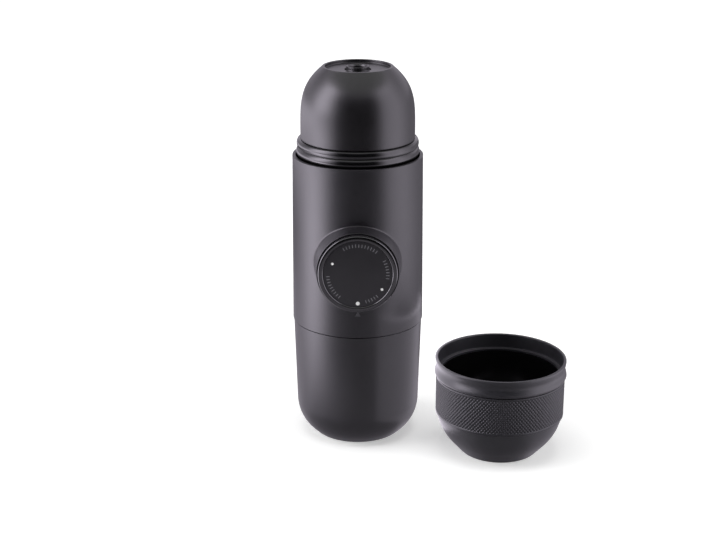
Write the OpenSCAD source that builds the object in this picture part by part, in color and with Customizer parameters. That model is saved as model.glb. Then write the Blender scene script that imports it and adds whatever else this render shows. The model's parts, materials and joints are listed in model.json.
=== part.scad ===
// Handheld manual espresso maker, standing on its water tank, with its cup beside it.
// Millimetres. The origin is the middle of the tank's flat base, +Z is up, the piston faces -Y.

/* [Water tank] */
// Height of the tank from its base to its mouth
tank_h = 56.6; // [52:0.1:64]
// How far the tank's mouth lies inside the body's lower edge
tank_step = 0.4; // [0.2:0.1:0.7]
// How much the side narrows from the mouth to the shoulder of the round bottom
tank_narrowing = 1.2; // [0.8:0.1:1.5]
// Height of the shoulder above the base
tank_shoulder_h = 15.9; // [15:0.1:17.5]
// Radius of the round bottom edge
tank_bend_r = 18.9; // [17.5:0.1:20]
// Angle that the round bottom edge turns through
tank_bend_turn = 44.5; // [41:0.5:46]
// Thickness of the side wall
tank_wall = 2.2; // [1.6:0.1:2.5]
// Thickness of the floor
tank_floor = 2.6; // [2:0.1:3.6]
// Thickness of the wall round the mouth
tank_mouth_wall = 3.2; // [2.9:0.1:3.5]
// Depth of the straight bore in the mouth
tank_mouth_depth = 11; // [10.6:0.1:14]

/* [Main body] */
// Open seam between the tank and the body
seam_gap = 0.4; // [0.2:0.1:0.8]
// Height of the body shell
body_h = 78.2; // [76:0.1:88]
// Outer diameter of the body at the seam
body_base_d = 60.6; // [60:0.1:61.6]
// How much the side narrows from the seam to the upper rim
body_narrowing = 0.6; // [0:0.1:0.8]
// Thickness of the body's wall at the seam
body_wall = 2.1; // [1.9:0.1:2.3]
// Height of each ledge inside the bore
ledge_h = 2.5; // [2:0.1:3.5]
// Width of each ledge inside the bore
ledge_w = 1.8; // [1.2:0.1:2.4]
// Small bevel on visible edges
edge_cut = 0.5; // [0.2:0.1:0.8]

/* [Body base] */
// Thickness of the plate that closes the body
base_plate_t = 3; // [2.6:0.1:4]
// Length of the threaded spigot that goes into the tank
spigot_h = 10; // [8:0.1:10.4]
// Thickness of the spigot's wall
spigot_wall = 2.2; // [1.8:0.1:2.4]
// How far each thread ridge stands out
thread_ridge = 0.6; // [0.4:0.05:0.8]
// Spacing of the thread ridges
thread_pitch = 2.8; // [2.4:0.1:3]
// Distance of the base screws from the inside of the spigot
base_screw_inset = 4; // [3.6:0.1:4.6]

/* [Piston] */
// Depth of the spring's seat behind the front of the body
guide_depth = 22.3; // [21.8:0.1:22.6]
// Height of the piston's axis above the seam edge of the body
knob_rise = 33.7; // [32:0.1:36]
// Outer diameter of the knob
knob_d = 35.2; // [34.6:0.1:36]
// Travel of the piston
stroke = 22; // [20:0.5:23]
// Width of the gloss rim round the knob's face
knob_rim_w = 2.3; // [1.6:0.1:2.6]
// Thickness of the knob's end plate
knob_plate_t = 3; // [2.6:0.1:3.6]
// Thickness of the knob's face disc
knob_face_t = 0.7; // [0.5:0.1:0.9]
// How far the knob's skirt lies inside the rim
skirt_inset = 1.8; // [1.7:0.05:2]
// Thickness of the knob's skirt
skirt_wall = 1.6; // [1.3:0.1:1.8]
// How far each bayonet lug stands out of the skirt
lug_reach = 0.8; // [0.7:0.05:0.9]
// Length of each lug along the piston
lug_len = 2; // [1.6:0.1:2.6]
// Width of each lug as an angle
lug_angle = 24; // [18:1:28]
// Thickness of the guide sleeve outside its grooves
guide_wall = 0.7; // [0.6:0.05:0.9]
// Thickness of the guide's front lip
guide_lip_t = 1.4; // [1.1:0.1:1.8]
// Width of the bezel's thin edge round the knob
bezel_edge_w = 0.45; // [0.4:0.05:0.8]
// How far the knob stands out of the bezel
knob_proud = 2.4; // [1.8:0.1:3]
// Slope of the bezel's outside, in degrees
bezel_draft = 7; // [5:0.5:9]
// Diameter of the piston rod
rod_d = 8; // [7:0.1:9]
// Radius of the ring of marks on the knob's face
mark_ring_r = 13.2; // [12.4:0.1:13.6]
// Height of the index mark above the seam edge of the body
index_rise = 10.4; // [8:0.1:11]

/* [Pump] */
// Diameter of the pump's bore
pump_bore_d = 16; // [14:0.1:17]
// Thickness of the pump's barrel
pump_wall = 2.6; // [2.2:0.1:3]
// Distance from the closed end of the bore to the back of the body
pump_inset = 11.3; // [10.3:0.1:12.3]
// Length of the plunger
plunger_len = 5; // [4.8:0.1:6]
// Thickness of the plunger's seals
seal_d = 1.8; // [1.4:0.1:2]
// Diameter of the water ports
port_d = 2.8; // [2:0.1:3]
// Diameter of each valve chamber
valve_room_d = 8; // [7.4:0.1:8.4]
// Depth of each valve chamber
valve_room_h = 9; // [8:0.1:10]
// Room above each valve's pin, which is how far it can lift
valve_headroom = 4.8; // [4:0.1:5.4]
// Outer diameter of the columns that hold the valves
column_d = 14.4; // [14:0.1:15]
// Thickness of the pump's foot
foot_t = 3; // [2.6:0.1:4]
// Wire diameter of the return spring
spring_wire_d = 1.2; // [1:0.1:1.4]
// Number of turns of the return spring
spring_turns = 9; // [7:1:10]

/* [Neck and brew head] */
// Depth of the brew head's plate below the body's rim
neck_drop = 14.2; // [13:0.1:15]
// Thickness of the brew head's plate
brew_plate_t = 3; // [2.8:0.1:4]
// Height of the gloss neck ring above the body's rim
neck_ring_h = 7.7; // [7:0.1:9]
// Height of the lower bead of the neck ring
lower_bead_h = 4.4; // [3.8:0.1:5]
// Gap between the lower bead and the body's bore
bead_gap = 0.25; // [0.2:0.05:0.5]
// How far the upper bead lies inside the lower one
bead_step = 0.25; // [0.15:0.05:0.5]
// How far each bead stands out
bead_bulge = 0.6; // [0.4:0.05:0.8]
// Thickness of the neck ring between its beads
neck_skin = 1.35; // [1.1:0.05:1.5]
// Thickness of the neck tube
neck_tube_wall = 1.6; // [1.4:0.1:1.8]
// Thickness of the basket's gasket
gasket_t = 2; // [1.8:0.1:2.4]
// Thickness of the shower screen
screen_t = 0.8; // [0.6:0.1:1]
// Thickness of the basket's flange
basket_flange_t = 1.2; // [0.8:0.1:1.4]
// Gap between the filter basket and the outlet head's skirt
basket_gap = 2.2; // [1.9:0.1:2.8]
// Wall thickness of the filter basket
basket_wall = 0.6; // [0.5:0.05:0.8]
// Diameter of each hole in the basket and the screen
pore_d = 0.9; // [0.7:0.05:1.1]
// Spacing of the rings of holes
pore_pitch = 3; // [2.8:0.1:3.2]

/* [Outlet head] */
// Height of the outlet head above the neck ring
head_h = 31.9; // [31:0.1:34]
// How far the outlet head lies inside the neck tube's outside
head_inset = 0.05; // [0:0.05:0.3]
// How much the dome narrows to its upper edge
head_narrowing = 9.85; // [9.4:0.05:10.2]
// Fullness of the dome's shoulder
dome_fullness = 4.25; // [3.8:0.05:4.6]
// Roundness of the dome towards its top
dome_roundness = 0.62; // [0.6:0.01:0.7]
// Thickness of the dome's wall
head_wall = 2.4; // [2:0.1:2.6]
// Thickness of the skirt that goes into the neck
head_skirt_wall = 1.4; // [1.2:0.1:1.6]
// Width of the flat edge round the recess in the top
recess_edge = 1.35; // [1.1:0.05:1.8]
// Depth of that recess
recess_depth = 1.2; // [1:0.1:2]
// Outer diameter of the nozzle
nozzle_d = 11.3; // [10.8:0.1:12]
// Diameter of the nozzle's bore
nozzle_bore_d = 8; // [7.6:0.1:8.4]
// Thickness of the filter seat's plate
filter_seat_t = 2.2; // [2:0.1:3]

/* [Cup] */
// Place of the cup to the right of the body
cup_x = 65.6; // [63:0.1:90]
// Place of the cup in front of the body
cup_y = -24.1; // [-40:0.1:0]
// Height of the cup
cup_h = 45.3; // [44:0.1:50]
// How far the textured band lies inside the collar's bulge
cup_band_step = 0.7; // [0.5:0.05:0.9]
// Height of the step below the textured band
cup_step_h = 18.6; // [18.2:0.1:19.8]
// How far the round bottom lies inside the textured band
cup_dome_step = 0.65; // [0.5:0.05:0.8]
// Radius of the round bottom
cup_bend_r = 24.6; // [23.5:0.1:25.5]
// Angle that the round bottom turns through
cup_bend_turn = 32; // [30:0.5:34]
// Slope of the side where the round bottom starts
cup_draft = 9.7; // [8.5:0.1:10.5]
// Thickness of the outer wall
cup_wall = 1.4; // [1.2:0.1:1.5]
// Thickness of the inner bowl
cup_bowl_wall = 1.1; // [0.9:0.1:1.2]
// Height of the smooth collar above the textured band
cup_collar_h = 7.8; // [7.4:0.1:9]
// Clearance of the collar, which slips over the neck ring
cup_mouth_gap = 0.65; // [0.4:0.05:0.75]
// Thickness of the collar at its bulge
cup_collar_wall = 1.6; // [1.5:0.05:1.9]
// Thickness of the collar at its lip
cup_lip_wall = 1.35; // [1.3:0.05:1.7]
// Height of the dark groove below the collar
cup_groove_h = 0.6; // [0.4:0.1:0.8]

/* [Fits] */
// Clearance between parts that slide or turn
slide_gap = 0.3; // [0.25:0.01:0.35]
// Clearance between parts that are fixed to each other
fixed_gap = 0.05; // [0.03:0.01:0.08]
// Clearance of a shaft in its bush
shaft_gap = 0.05; // [0.03:0.01:0.08]

/* [Hidden] */

ROUND = 96;
SMALL_ROUND = 48;
EPS = 0.01;
OVER = 1;

// Colours
soft_grey = "#48464b";
gloss_black = "#1b1b1e";
mid_black = "#2a292d";
inner_white = "#c9c8c4";
steel = "#c4c6c8";
brass = "#b99a55";
silicone = "#8f8d8a";
mark_white = "#e6e6e6";
mark_grey = "#8b8990";

// Heights of the stack, from the base up
seam_z = tank_h + seam_gap;
base_top_z = seam_z + base_plate_t;
rim_z = seam_z + body_h;
knob_z = seam_z + knob_rise;
brew_top_z = rim_z - neck_drop;
brew_bottom_z = brew_top_z - brew_plate_t;
neck_top_z = rim_z + neck_ring_h;
neck_cap_t = 0.5;
head_base_z = neck_top_z + slide_gap;
head_top_z = head_base_z + head_h;
gasket_top_z = brew_top_z + gasket_t;
flange_top_z = gasket_top_z + basket_flange_t;

// Body and tank fits
body_base_r = body_base_d / 2;
body_rim_r = body_base_r - body_narrowing;
body_bore_r = body_base_r - body_wall;
plate_r = body_bore_r - 2 * fixed_gap;
tank_mouth_r = body_base_r - tank_step;
tank_shoulder_r = tank_mouth_r - tank_narrowing;
tank_bore_r = tank_mouth_r - tank_mouth_wall;
ridge_r = tank_bore_r - slide_gap;
spigot_r = ridge_r - thread_ridge;
spigot_bottom_z = seam_z - spigot_h;
tank_draft = atan2(tank_narrowing, tank_h - tank_shoulder_h);
seal_groove_depth = base_plate_t * 0.4;

// Piston, measured along t, which runs out of the body towards the front
knob_r = knob_d / 2;
skirt_r = knob_r - skirt_inset;
skirt_bore_r = skirt_r - skirt_wall;
lug_r = skirt_r + lug_reach;
groove_r = lug_r + slide_gap;
guide_r = groove_r + guide_wall;
guide_bore_r = skirt_r + slide_gap;
guide_fit_r = guide_r + 2 * fixed_gap;
axial_gap = 0.4;
spring_seat_t = body_base_r - guide_depth;
spring_seat_thickness = 3;
skirt_back_t = spring_seat_t + 1.7;
groove_front_t = skirt_back_t + stroke + lug_len + axial_gap;
guide_front_t = groove_front_t + guide_lip_t;
knob_back_t = guide_front_t + 0.7;
plate_front_t = knob_back_t + knob_plate_t;
face_front_t = plate_front_t + knob_face_t;
knob_front_t = face_front_t + 0.4;
bezel_bore_r = knob_r + slide_gap;
bezel_crest_t = knob_front_t - knob_proud;
bezel_crest_r = bezel_bore_r + bezel_edge_w;
lug_places = [90, 210, 330];
slot_side_gap = 2.5;
return_spring_len = knob_back_t - spring_seat_t;
seal_places = [0.27, 0.73];

// Pump, with the plunger's places at rest
pump_back = body_base_r - pump_inset;
pump_bore_r = pump_bore_d / 2;
pump_r = pump_bore_r + pump_wall;
port_y = pump_back - port_d / 2 - 0.5;
plunger_back_y = port_y - port_d / 2 - 0.3;
plunger_front_y = plunger_back_y - plunger_len;
bush_back_t = max(stroke - plunger_front_y + axial_gap, spring_seat_t + 1);
bush_spigot_t = 1;
barrel_front_t = bush_back_t + bush_spigot_t;
cylinder_cap_t = 3;
rod_r = rod_d / 2;
rod_tail_r = rod_r - 1;
rod_neck_r = rod_r - 0.5;
boss_r = rod_r + 2;
boss_len = 6;
clip_pocket_t = knob_back_t + 0.3;
clip_r = boss_r + 0.2;
clip_t = 0.8;
column_r = column_d / 2;
room_r = valve_room_d / 2;
plug_r = room_r + 1;
plug_h = 3.5;
inlet_seat_z = base_top_z + plug_h;
outlet_seat_z = brew_bottom_z - valve_room_h;
foot_r = body_bore_r - ledge_w - 2.2;
poppet_disc_t = 1.2;
poppet_stem_h = valve_room_h - poppet_disc_t - valve_headroom;
valve_wire_d = 0.5;
valve_turns = 5;
valve_spring_h = valve_room_h - poppet_disc_t;
spring_mean_r = pump_r + 2.2;

// Vent valve
vent_y = -9;
vent_stem_r = 2;
vent_head_r = 3.6;
vent_room_r = 3;

// Screws
screw_r = 1.5;
screw_head_r = 2.8;
screw_head_h = 1.8;
ear_x = 11;
ear_r = 4;
ear_h = 4;
screw_seat_z = brew_top_z - screw_head_h - 0.1;

// Neck, brew head and basket
lower_bead_r = body_bore_r - bead_gap;
upper_bead_r = lower_bead_r - bead_step;
neck_tube_r = lower_bead_r - bead_bulge - neck_skin;
neck_bore_r = neck_tube_r - neck_tube_wall;
head_ridge_r = neck_bore_r - slide_gap;
head_skirt_r = head_ridge_r - 0.5;
head_skirt_bore_r = head_skirt_r - head_skirt_wall;
seat_ledge_z = head_base_z + 1.2;
basket_r = head_skirt_bore_r - basket_gap;
basket_bore_r = basket_r - basket_wall;
basket_end_z = seat_ledge_z - 0.8;
basket_floor_t = 0.8;
screen_r = basket_bore_r + 0.2;
gasket_bore_r = screen_r + 0.6;
screen_top_z = gasket_top_z - slide_gap;
screen_boss_r = 4;
pore_rings = 5;

// Outlet head
head_r = neck_tube_r - head_inset;
head_top_r = head_r - head_narrowing;
recess_z = head_top_z - recess_depth;
ceiling_t = 2.4;
ceiling_z = recess_z - ceiling_t;
filter_seat_r = head_r - head_wall - 0.25;
filter_seat_top_z = seat_ledge_z + filter_seat_t;
nozzle_r = nozzle_d / 2;
nozzle_bore_r = nozzle_bore_d / 2;
nozzle_top_z = head_top_z - 0.1;
nozzle_flange_t = 1.5;
crema_floor_z = filter_seat_top_z + 2;
nozzle_foot_z = crema_floor_z + 1.4;
socket_depth = 2;
diverter_top_z = nozzle_top_z - 3;
crema_spring_h = 9;
dome_start_h = 0.35;

// Cup
cup_mouth_r = lower_bead_r + cup_mouth_gap;
cup_collar_r = cup_mouth_r + cup_collar_wall;
cup_lip_r = cup_mouth_r + cup_lip_wall;
cup_band_r = cup_collar_r - cup_band_step;
cup_dome_r = cup_band_r - cup_dome_step;
cup_shoulder_r = cup_dome_r - 0.05;
cup_shoulder_z = cup_step_h - 0.4;
cup_groove_z = cup_h - cup_collar_h - cup_groove_h;
cup_collar_z = cup_h - cup_collar_h;
cup_shell_bore_r = cup_band_r - cup_wall;
cup_floor_t = 2.2;
bowl_top_r = cup_shell_bore_r - 2 * fixed_gap;
bowl_base_z = cup_floor_t + 1.8;
bowl_shoulder_z = cup_step_h + 1.4;
bowl_shoulder_r = cup_dome_r - cup_wall - 0.85;
bowl_draft = atan2(bowl_top_r - bowl_shoulder_r, cup_collar_z - bowl_shoulder_z);
bowl_bend_r = cup_bend_r - 4.6;
bowl_bend_turn = 45;

// Points of a round stretch about (cr, cz), from angle a0 to angle a1
function arc(cr, cz, r, a0, a1, steps = 12) =
    [for (i = [0 : steps]) let (a = a0 + (a1 - a0) * i / steps) [cr + r * cos(a), cz + r * sin(a)]];

// Side of a round-bottomed vessel from its top down: a straight slope, a tangent round
// stretch and a tangent straight stretch to the base. inset moves all of it inwards.
function vessel_side(inset, top_z, shoulder_r, shoulder_z, slope, bend_r, turn, base_z) =
    let (
        cr = shoulder_r - bend_r * cos(slope),
        cz = shoulder_z + bend_r * sin(slope),
        r = bend_r - inset,
        last = min(slope + turn, asin(min(1, (cz - base_z) / r))),
        first_r = cr + r * cos(slope),
        first_z = cz - r * sin(slope),
        last_r = cr + r * cos(last),
        last_z = cz - r * sin(last)
    )
    concat(
        [[first_r + (top_z - first_z) * tan(slope), top_z]],
        arc(cr, cz, r, -slope, -last),
        [[last_r - max(0, last_z - base_z) * tan(last), base_z]]
    );

// Outer radius of the dome at height h above its start: a rounded superellipse
function dome_r(h) =
    let (
        k = pow(1 - pow(head_top_r / head_r, dome_roundness), 1 / dome_fullness),
        s = max(0, min(1, (h - dome_start_h) / (head_h - dome_start_h)))
    )
    head_r * pow(1 - pow(k * s, dome_fullness), 1 / dome_roundness);

// Side that swings smoothly from one point to another, along half a cosine wave
function swing(r0, z0, r1, z1, steps = 6) =
    [for (i = [0 : steps]) [r0 + (r1 - r0) * (1 - cos(180 * i / steps)) / 2, z0 + (z1 - z0) * i / steps]];

// Side of a bead that bulges out between two heights
function bead(base_r, z0, z1, bulge, steps = 10) =
    [for (i = [0 : steps]) [base_r + bulge * sin(180 * i / steps), z0 + (z1 - z0) * i / steps]];

// Ring between two radii and two heights
module ring(r_in, r_out, z0, z1, fn = ROUND) {
    translate([0, 0, z0])
        rotate_extrude($fn = fn)
            translate([r_in, 0])
                square([r_out - r_in, z1 - z0]);
}

// Disc or rod between two heights
module disc(r, z0, z1, fn = ROUND) {
    translate([0, 0, z0])
        cylinder(r = r, h = z1 - z0, $fn = fn);
}

// Ring of round section
module o_ring(mean_r, section_r, z) {
    translate([0, 0, z])
        rotate_extrude($fn = ROUND)
            translate([mean_r, 0])
                circle(r = section_r, $fn = 24);
}

// Puts what is drawn along +Z on the piston's axis, running out of the body
module on_piston_axis() {
    translate([0, 0, knob_z])
        rotate([90, 0, 0])
            children();
}

// Puts what is drawn at the axis over the water ports
module at_ports() {
    translate([0, port_y, 0])
        children();
}

// Part of a ring, between two radii, centred on an angle
module sector(r_in, r_out, angle, width) {
    far = r_out * 2;
    intersection() {
        difference() {
            circle(r = r_out, $fn = ROUND);
            circle(r = r_in, $fn = ROUND);
        }
        polygon([
            [0, 0],
            [far * cos(angle - width / 2), far * sin(angle - width / 2)],
            [far * cos(angle + width / 2), far * sin(angle + width / 2)]
        ]);
    }
}

// Flat disc with rings of holes, with none inside clear_r
module pierced_disc(r, clear_r) {
    difference() {
        circle(r = r, $fn = ROUND);
        for (k = [0 : pore_rings])
            for (i = [0 : max(1, 6 * k) - 1])
                if (k * pore_pitch >= clear_r)
                    rotate(i * 60 / max(1, k))
                        translate([k * pore_pitch, 0])
                            circle(d = pore_d, $fn = 16);
    }
}

// Centres of a coil's rings: eight to a turn
function coil_line(mean_r, wire_d, length, turns) =
    [for (i = [0 : 8 * turns])
        [mean_r * cos(45 * i), mean_r * sin(45 * i), wire_d / 2 + (length - wire_d) * i / (8 * turns)]];

// Least gap between a coil's neighbouring turns, measured on the points of its centre line
function coil_gap(mean_r, wire_d, length, turns) =
    let (line = coil_line(mean_r, wire_d, length, turns))
    min([for (i = [0 : len(line) - 9]) norm(line[i + 8] - line[i])]) - wire_d;

// One unbroken wire wound as a coil along +Z, a tube of six sides
module coil(mean_r, wire_d, length, turns) {
    sides = 6;
    line = coil_line(mean_r, wire_d, length, turns);
    climb = atan2((length - wire_d) / turns, 2 * PI * mean_r);
    rings = len(line);
    points = [
        for (i = [0 : rings - 1])
            for (j = [0 : sides - 1])
                let (a = 45 * i, b = 360 * j / sides)
                line[i] + wire_d / 2 * (
                    cos(b) * [cos(a), sin(a), 0]
                    + sin(b) * [sin(a) * sin(climb), -cos(a) * sin(climb), cos(climb)]
                )
    ];
    walls = [
        for (i = [0 : rings - 2])
            for (j = [0 : sides - 1])
                let (
                    a = i * sides + j,
                    b = i * sides + (j + 1) % sides
                )
                each [[a, b, b + sides], [a, b + sides, a + sides]]
    ];
    start = [for (j = [1 : sides - 2]) [0, j + 1, j]];
    last = (rings - 1) * sides;
    end = [for (j = [1 : sides - 2]) [last, last + j, last + j + 1]];
    polyhedron(points = points, faces = concat(walls, start, end));
}

// Valve disc with the pin that centres its spring, sitting at height z
module poppet(disc_r, z) {
    disc(disc_r, z, z + poppet_disc_t, SMALL_ROUND);
    disc(disc_r * 0.35, z + poppet_disc_t - EPS, z + poppet_disc_t + poppet_stem_h, SMALL_ROUND);
}

// Pan head screw, with the underside of its head at height z, pointing up or down
module screw(z, shank, up) {
    translate([0, 0, z])
        mirror([0, 0, up ? 0 : 1]) {
            difference() {
                disc(screw_head_r, -screw_head_h, 0, SMALL_ROUND);
                translate([0, 0, -screw_head_h - OVER])
                    cylinder(r = 1.3, h = OVER + 1, $fn = 6);
            }
            disc(screw_r, -EPS, shank, SMALL_ROUND);
        }
}

// Hole for a screw's shank between two heights
module screw_hole(z0, z1) {
    disc(screw_r + fixed_gap, z0, z1, SMALL_ROUND);
}

// Height-wise thread ridges round a radius, counted down from z
module thread_ridges(core_r, out_r, z, count) {
    rise = (out_r - core_r) * 0.6;
    for (i = [0 : count - 1])
        translate([0, 0, z - i * thread_pitch])
            rotate_extrude($fn = ROUND)
                polygon([
                    [core_r - OVER, -1 - rise], [core_r, -1 - rise], [out_r, -1],
                    [out_r, 0], [core_r, rise], [core_r - OVER, rise]
                ]);
}

module tank_shell() {
    mouth_z = tank_h - tank_mouth_depth;
    outer = vessel_side(
        0, tank_h - edge_cut, tank_shoulder_r, tank_shoulder_h, tank_draft, tank_bend_r,
        tank_bend_turn, 0
    );
    inner = vessel_side(
        tank_wall, mouth_z, tank_shoulder_r, tank_shoulder_h, tank_draft, tank_bend_r,
        tank_bend_turn, tank_floor
    );
    color(soft_grey)
        difference() {
            rotate_extrude($fn = ROUND)
                polygon(concat([[0, 0], [0, tank_h], [tank_mouth_r - edge_cut, tank_h]], outer));
            rotate_extrude($fn = ROUND)
                polygon(concat([[0, tank_floor], [0, mouth_z]], inner));
            disc(tank_bore_r, mouth_z - EPS, tank_h + OVER);
        }
}

module body_bore() {
    wide = body_bore_r;
    narrow = body_bore_r - ledge_w;
    rotate_extrude($fn = ROUND)
        polygon([
            [0, seam_z - OVER], [wide, seam_z - OVER],
            [wide, base_top_z], [narrow, base_top_z],
            [narrow, base_top_z + ledge_h], [wide, base_top_z + ledge_h],
            [wide, brew_bottom_z - ledge_h], [narrow, brew_bottom_z - ledge_h],
            [narrow, brew_bottom_z], [wide, brew_bottom_z],
            [wide, rim_z + OVER], [0, rim_z + OVER]
        ]);
}

// Flared collar on the front of the body, which holds the piston's guide
module bezel() {
    buried_t = 18;
    edge = bezel_edge_w / 2;
    foot_r = bezel_crest_r + (bezel_crest_t - buried_t) * tan(bezel_draft);
    on_piston_axis()
        rotate_extrude($fn = ROUND)
            polygon([
                [0, buried_t], [foot_r, buried_t], [bezel_crest_r, bezel_crest_t - edge],
                [bezel_crest_r - edge, bezel_crest_t], [0, bezel_crest_t]
            ]);
}

module main_body_shell() {
    color(soft_grey)
        difference() {
            union() {
                rotate_extrude($fn = ROUND)
                    polygon([
                        [0, seam_z], [body_base_r, seam_z], [body_rim_r, rim_z - edge_cut],
                        [body_rim_r - edge_cut, rim_z], [0, rim_z]
                    ]);
                bezel();
            }
            body_bore();
            on_piston_axis() {
                disc(guide_fit_r, spring_seat_t, bezel_crest_t + OVER);
                disc(bezel_bore_r, guide_front_t, bezel_crest_t + OVER);
            }
        }
}

// The body's tapered outside, grown by a little
module body_cone(grow) {
    translate([0, 0, seam_z])
        cylinder(r1 = body_base_r + grow, r2 = body_rim_r + grow, h = body_h, $fn = ROUND);
}

// Small pointer on the body below the knob, laid on its surface
module body_index_mark() {
    mark_t = 0.12;
    half_w = 1.3;
    pointer_h = 2.2;
    mark_z = seam_z + index_rise;
    color(mark_grey)
        difference() {
            intersection() {
                translate([0, 0, mark_z])
                    rotate([90, 0, 0])
                        linear_extrude(height = 2 * body_base_r)
                            polygon([[-half_w, 0], [half_w, 0], [0, pointer_h]]);
                body_cone(mark_t);
            }
            body_cone(0);
        }
}

module body_base() {
    color(mid_black)
        difference() {
            union() {
                disc(plate_r, seam_z, base_top_z);
                disc(spigot_r, spigot_bottom_z, seam_z + EPS);
                thread_ridges(spigot_r, ridge_r, seam_z - 2.4, 3);
            }
            disc(spigot_r - spigot_wall, spigot_bottom_z - OVER, seam_z);
            ring(spigot_r, plate_r + OVER, seam_z - EPS, seam_z + seal_groove_depth);
            at_ports()
                disc(port_d / 2 + 1, seam_z - OVER, base_top_z + OVER, SMALL_ROUND);
            vent_place()
                disc(vent_stem_r, seam_z - OVER, base_top_z + OVER, SMALL_ROUND);
            base_screw_places()
                screw_hole(seam_z - OVER, base_top_z + OVER);
        }
}

module vent_place() {
    translate([0, vent_y, 0])
        children();
}

module base_screw_places() {
    for (a = [30, 150, 270])
        rotate(a)
            translate([spigot_r - spigot_wall - base_screw_inset, 0, 0])
                children();
}

module tank_seal() {
    color(silicone)
        ring(spigot_r + fixed_gap, plate_r - fixed_gap, tank_h, seam_z + seal_groove_depth);
}

module inlet_strainer() {
    strainer_r = 5.2;
    color(steel)
        at_ports()
            translate([0, 0, seam_z - 1])
                linear_extrude(height = 1)
                    difference() {
                        circle(r = strainer_r, $fn = SMALL_ROUND);
                        for (k = [0 : 2])
                            for (i = [0 : max(1, 6 * k) - 1])
                                rotate(i * 60 / max(1, k))
                                    translate([k * 1.6, 0])
                                        circle(d = pore_d, $fn = 16);
                    }
}

// Soft one-way valve that lets air into the tank as the water leaves
module vent_valve() {
    color(silicone)
        vent_place()
            difference() {
                union() {
                    disc(vent_head_r, seam_z - 1, seam_z, SMALL_ROUND);
                    disc(vent_stem_r - fixed_gap, seam_z - EPS, base_top_z + 1, SMALL_ROUND);
                    translate([0, 0, seam_z - 4.5])
                        cylinder(r1 = 0.8, r2 = vent_stem_r - 0.1, h = 3.5 + EPS, $fn = SMALL_ROUND);
                }
                disc(0.5, seam_z - 4, base_top_z + 1 + OVER, SMALL_ROUND);
            }
}

module base_screws() {
    color(steel)
        base_screw_places()
            screw(seam_z, base_plate_t + foot_t - 0.4, true);
}

module ears(z0, z1) {
    for (side = [-1, 1])
        translate([side * ear_x, 0, 0])
            disc(ear_r, z0, z1, SMALL_ROUND);
    translate([-ear_x, -ear_r / 2, z0])
        cube([2 * ear_x, ear_r, z1 - z0]);
}

module pump_block() {
    foot_top_z = base_top_z + foot_t;
    color(inner_white)
        difference() {
            union() {
                disc(foot_r, base_top_z, foot_top_z);
                at_ports() {
                    disc(column_r, base_top_z, brew_bottom_z);
                    ears(brew_bottom_z - ear_h, brew_bottom_z);
                }
                on_piston_axis() {
                    disc(pump_r, -pump_back - 3, barrel_front_t);
                    disc(guide_r, spring_seat_t - spring_seat_thickness, spring_seat_t);
                }
            }
            on_piston_axis()
                disc(pump_bore_r, -pump_back, barrel_front_t + OVER);
            at_ports() {
                disc(port_d / 2, base_top_z + EPS, brew_bottom_z - EPS, SMALL_ROUND);
                disc(plug_r + fixed_gap, base_top_z - OVER, inlet_seat_z, SMALL_ROUND);
                disc(room_r, inlet_seat_z - EPS, inlet_seat_z + valve_room_h, SMALL_ROUND);
                disc(room_r, outlet_seat_z, brew_bottom_z + OVER, SMALL_ROUND);
                ring(plug_r + 1, plug_r + 2.3, base_top_z - OVER, base_top_z + 1.25);
                ring(room_r + 0.8, room_r + 2.1, brew_bottom_z - 1.25, brew_bottom_z + OVER);
                for (side = [-1, 1])
                    translate([side * ear_x, 0, 0])
                        screw_hole(brew_bottom_z - ear_h - OVER, brew_bottom_z + OVER);
            }
            vent_place()
                disc(vent_room_r, base_top_z - OVER, foot_top_z + OVER, SMALL_ROUND);
            base_screw_places()
                screw_hole(base_top_z - OVER, foot_top_z + OVER);
        }
}

module inlet_valve_seat() {
    color(brass)
        at_ports()
            ring(port_d / 2 + 0.8, plug_r, base_top_z, inlet_seat_z, SMALL_ROUND);
}

module inlet_valve_poppet() {
    color(silicone)
        at_ports()
            poppet(room_r - 0.6, inlet_seat_z);
}

module outlet_valve_poppet() {
    color(silicone)
        at_ports()
            poppet(room_r - 0.6, outlet_seat_z);
}

module valve_spring(z, length) {
    color(steel)
        translate([0, 0, z + poppet_disc_t])
            coil(room_r - 1.3, valve_wire_d, length, valve_turns);
}

module inlet_valve_spring() {
    at_ports()
        valve_spring(inlet_seat_z, valve_spring_h);
}

module outlet_valve_spring() {
    at_ports()
        valve_spring(outlet_seat_z, valve_spring_h);
}

module port_seals() {
    section_r = 0.6;
    color(gloss_black)
        at_ports() {
            o_ring(plug_r + 1.65, section_r, base_top_z + section_r);
            o_ring(room_r + 1.45, section_r, brew_bottom_z - section_r);
        }
}

// Bush that closes the front of the pump and guides the rod
module cylinder_cap() {
    color(mid_black)
        on_piston_axis()
            difference() {
                union() {
                    disc(pump_bore_r - fixed_gap, bush_back_t, barrel_front_t + EPS);
                    disc(pump_r, barrel_front_t, barrel_front_t + cylinder_cap_t);
                }
                disc(rod_r + shaft_gap, bush_back_t - OVER, barrel_front_t + cylinder_cap_t + OVER);
            }
}

module piston_rod() {
    collar_front_t = knob_back_t - boss_len - 0.2;
    tail_t = -plunger_back_y + 0.6;
    clip_back_t = clip_pocket_t + 0.2;
    color(steel)
        on_piston_axis()
            difference() {
                union() {
                    disc(rod_tail_r, tail_t, -plunger_front_y + EPS);
                    disc(rod_r, -plunger_front_y, clip_pocket_t + 2);
                    disc(boss_r - 0.4, collar_front_t - 1.2, collar_front_t);
                }
                ring(rod_neck_r, rod_r + OVER, clip_back_t - fixed_gap, clip_back_t + clip_t + fixed_gap);
            }
}

module rod_clip() {
    color(steel)
        on_piston_axis()
            ring(rod_neck_r + fixed_gap, clip_r, clip_pocket_t + 0.2, clip_pocket_t + 0.2 + clip_t);
}

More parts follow.
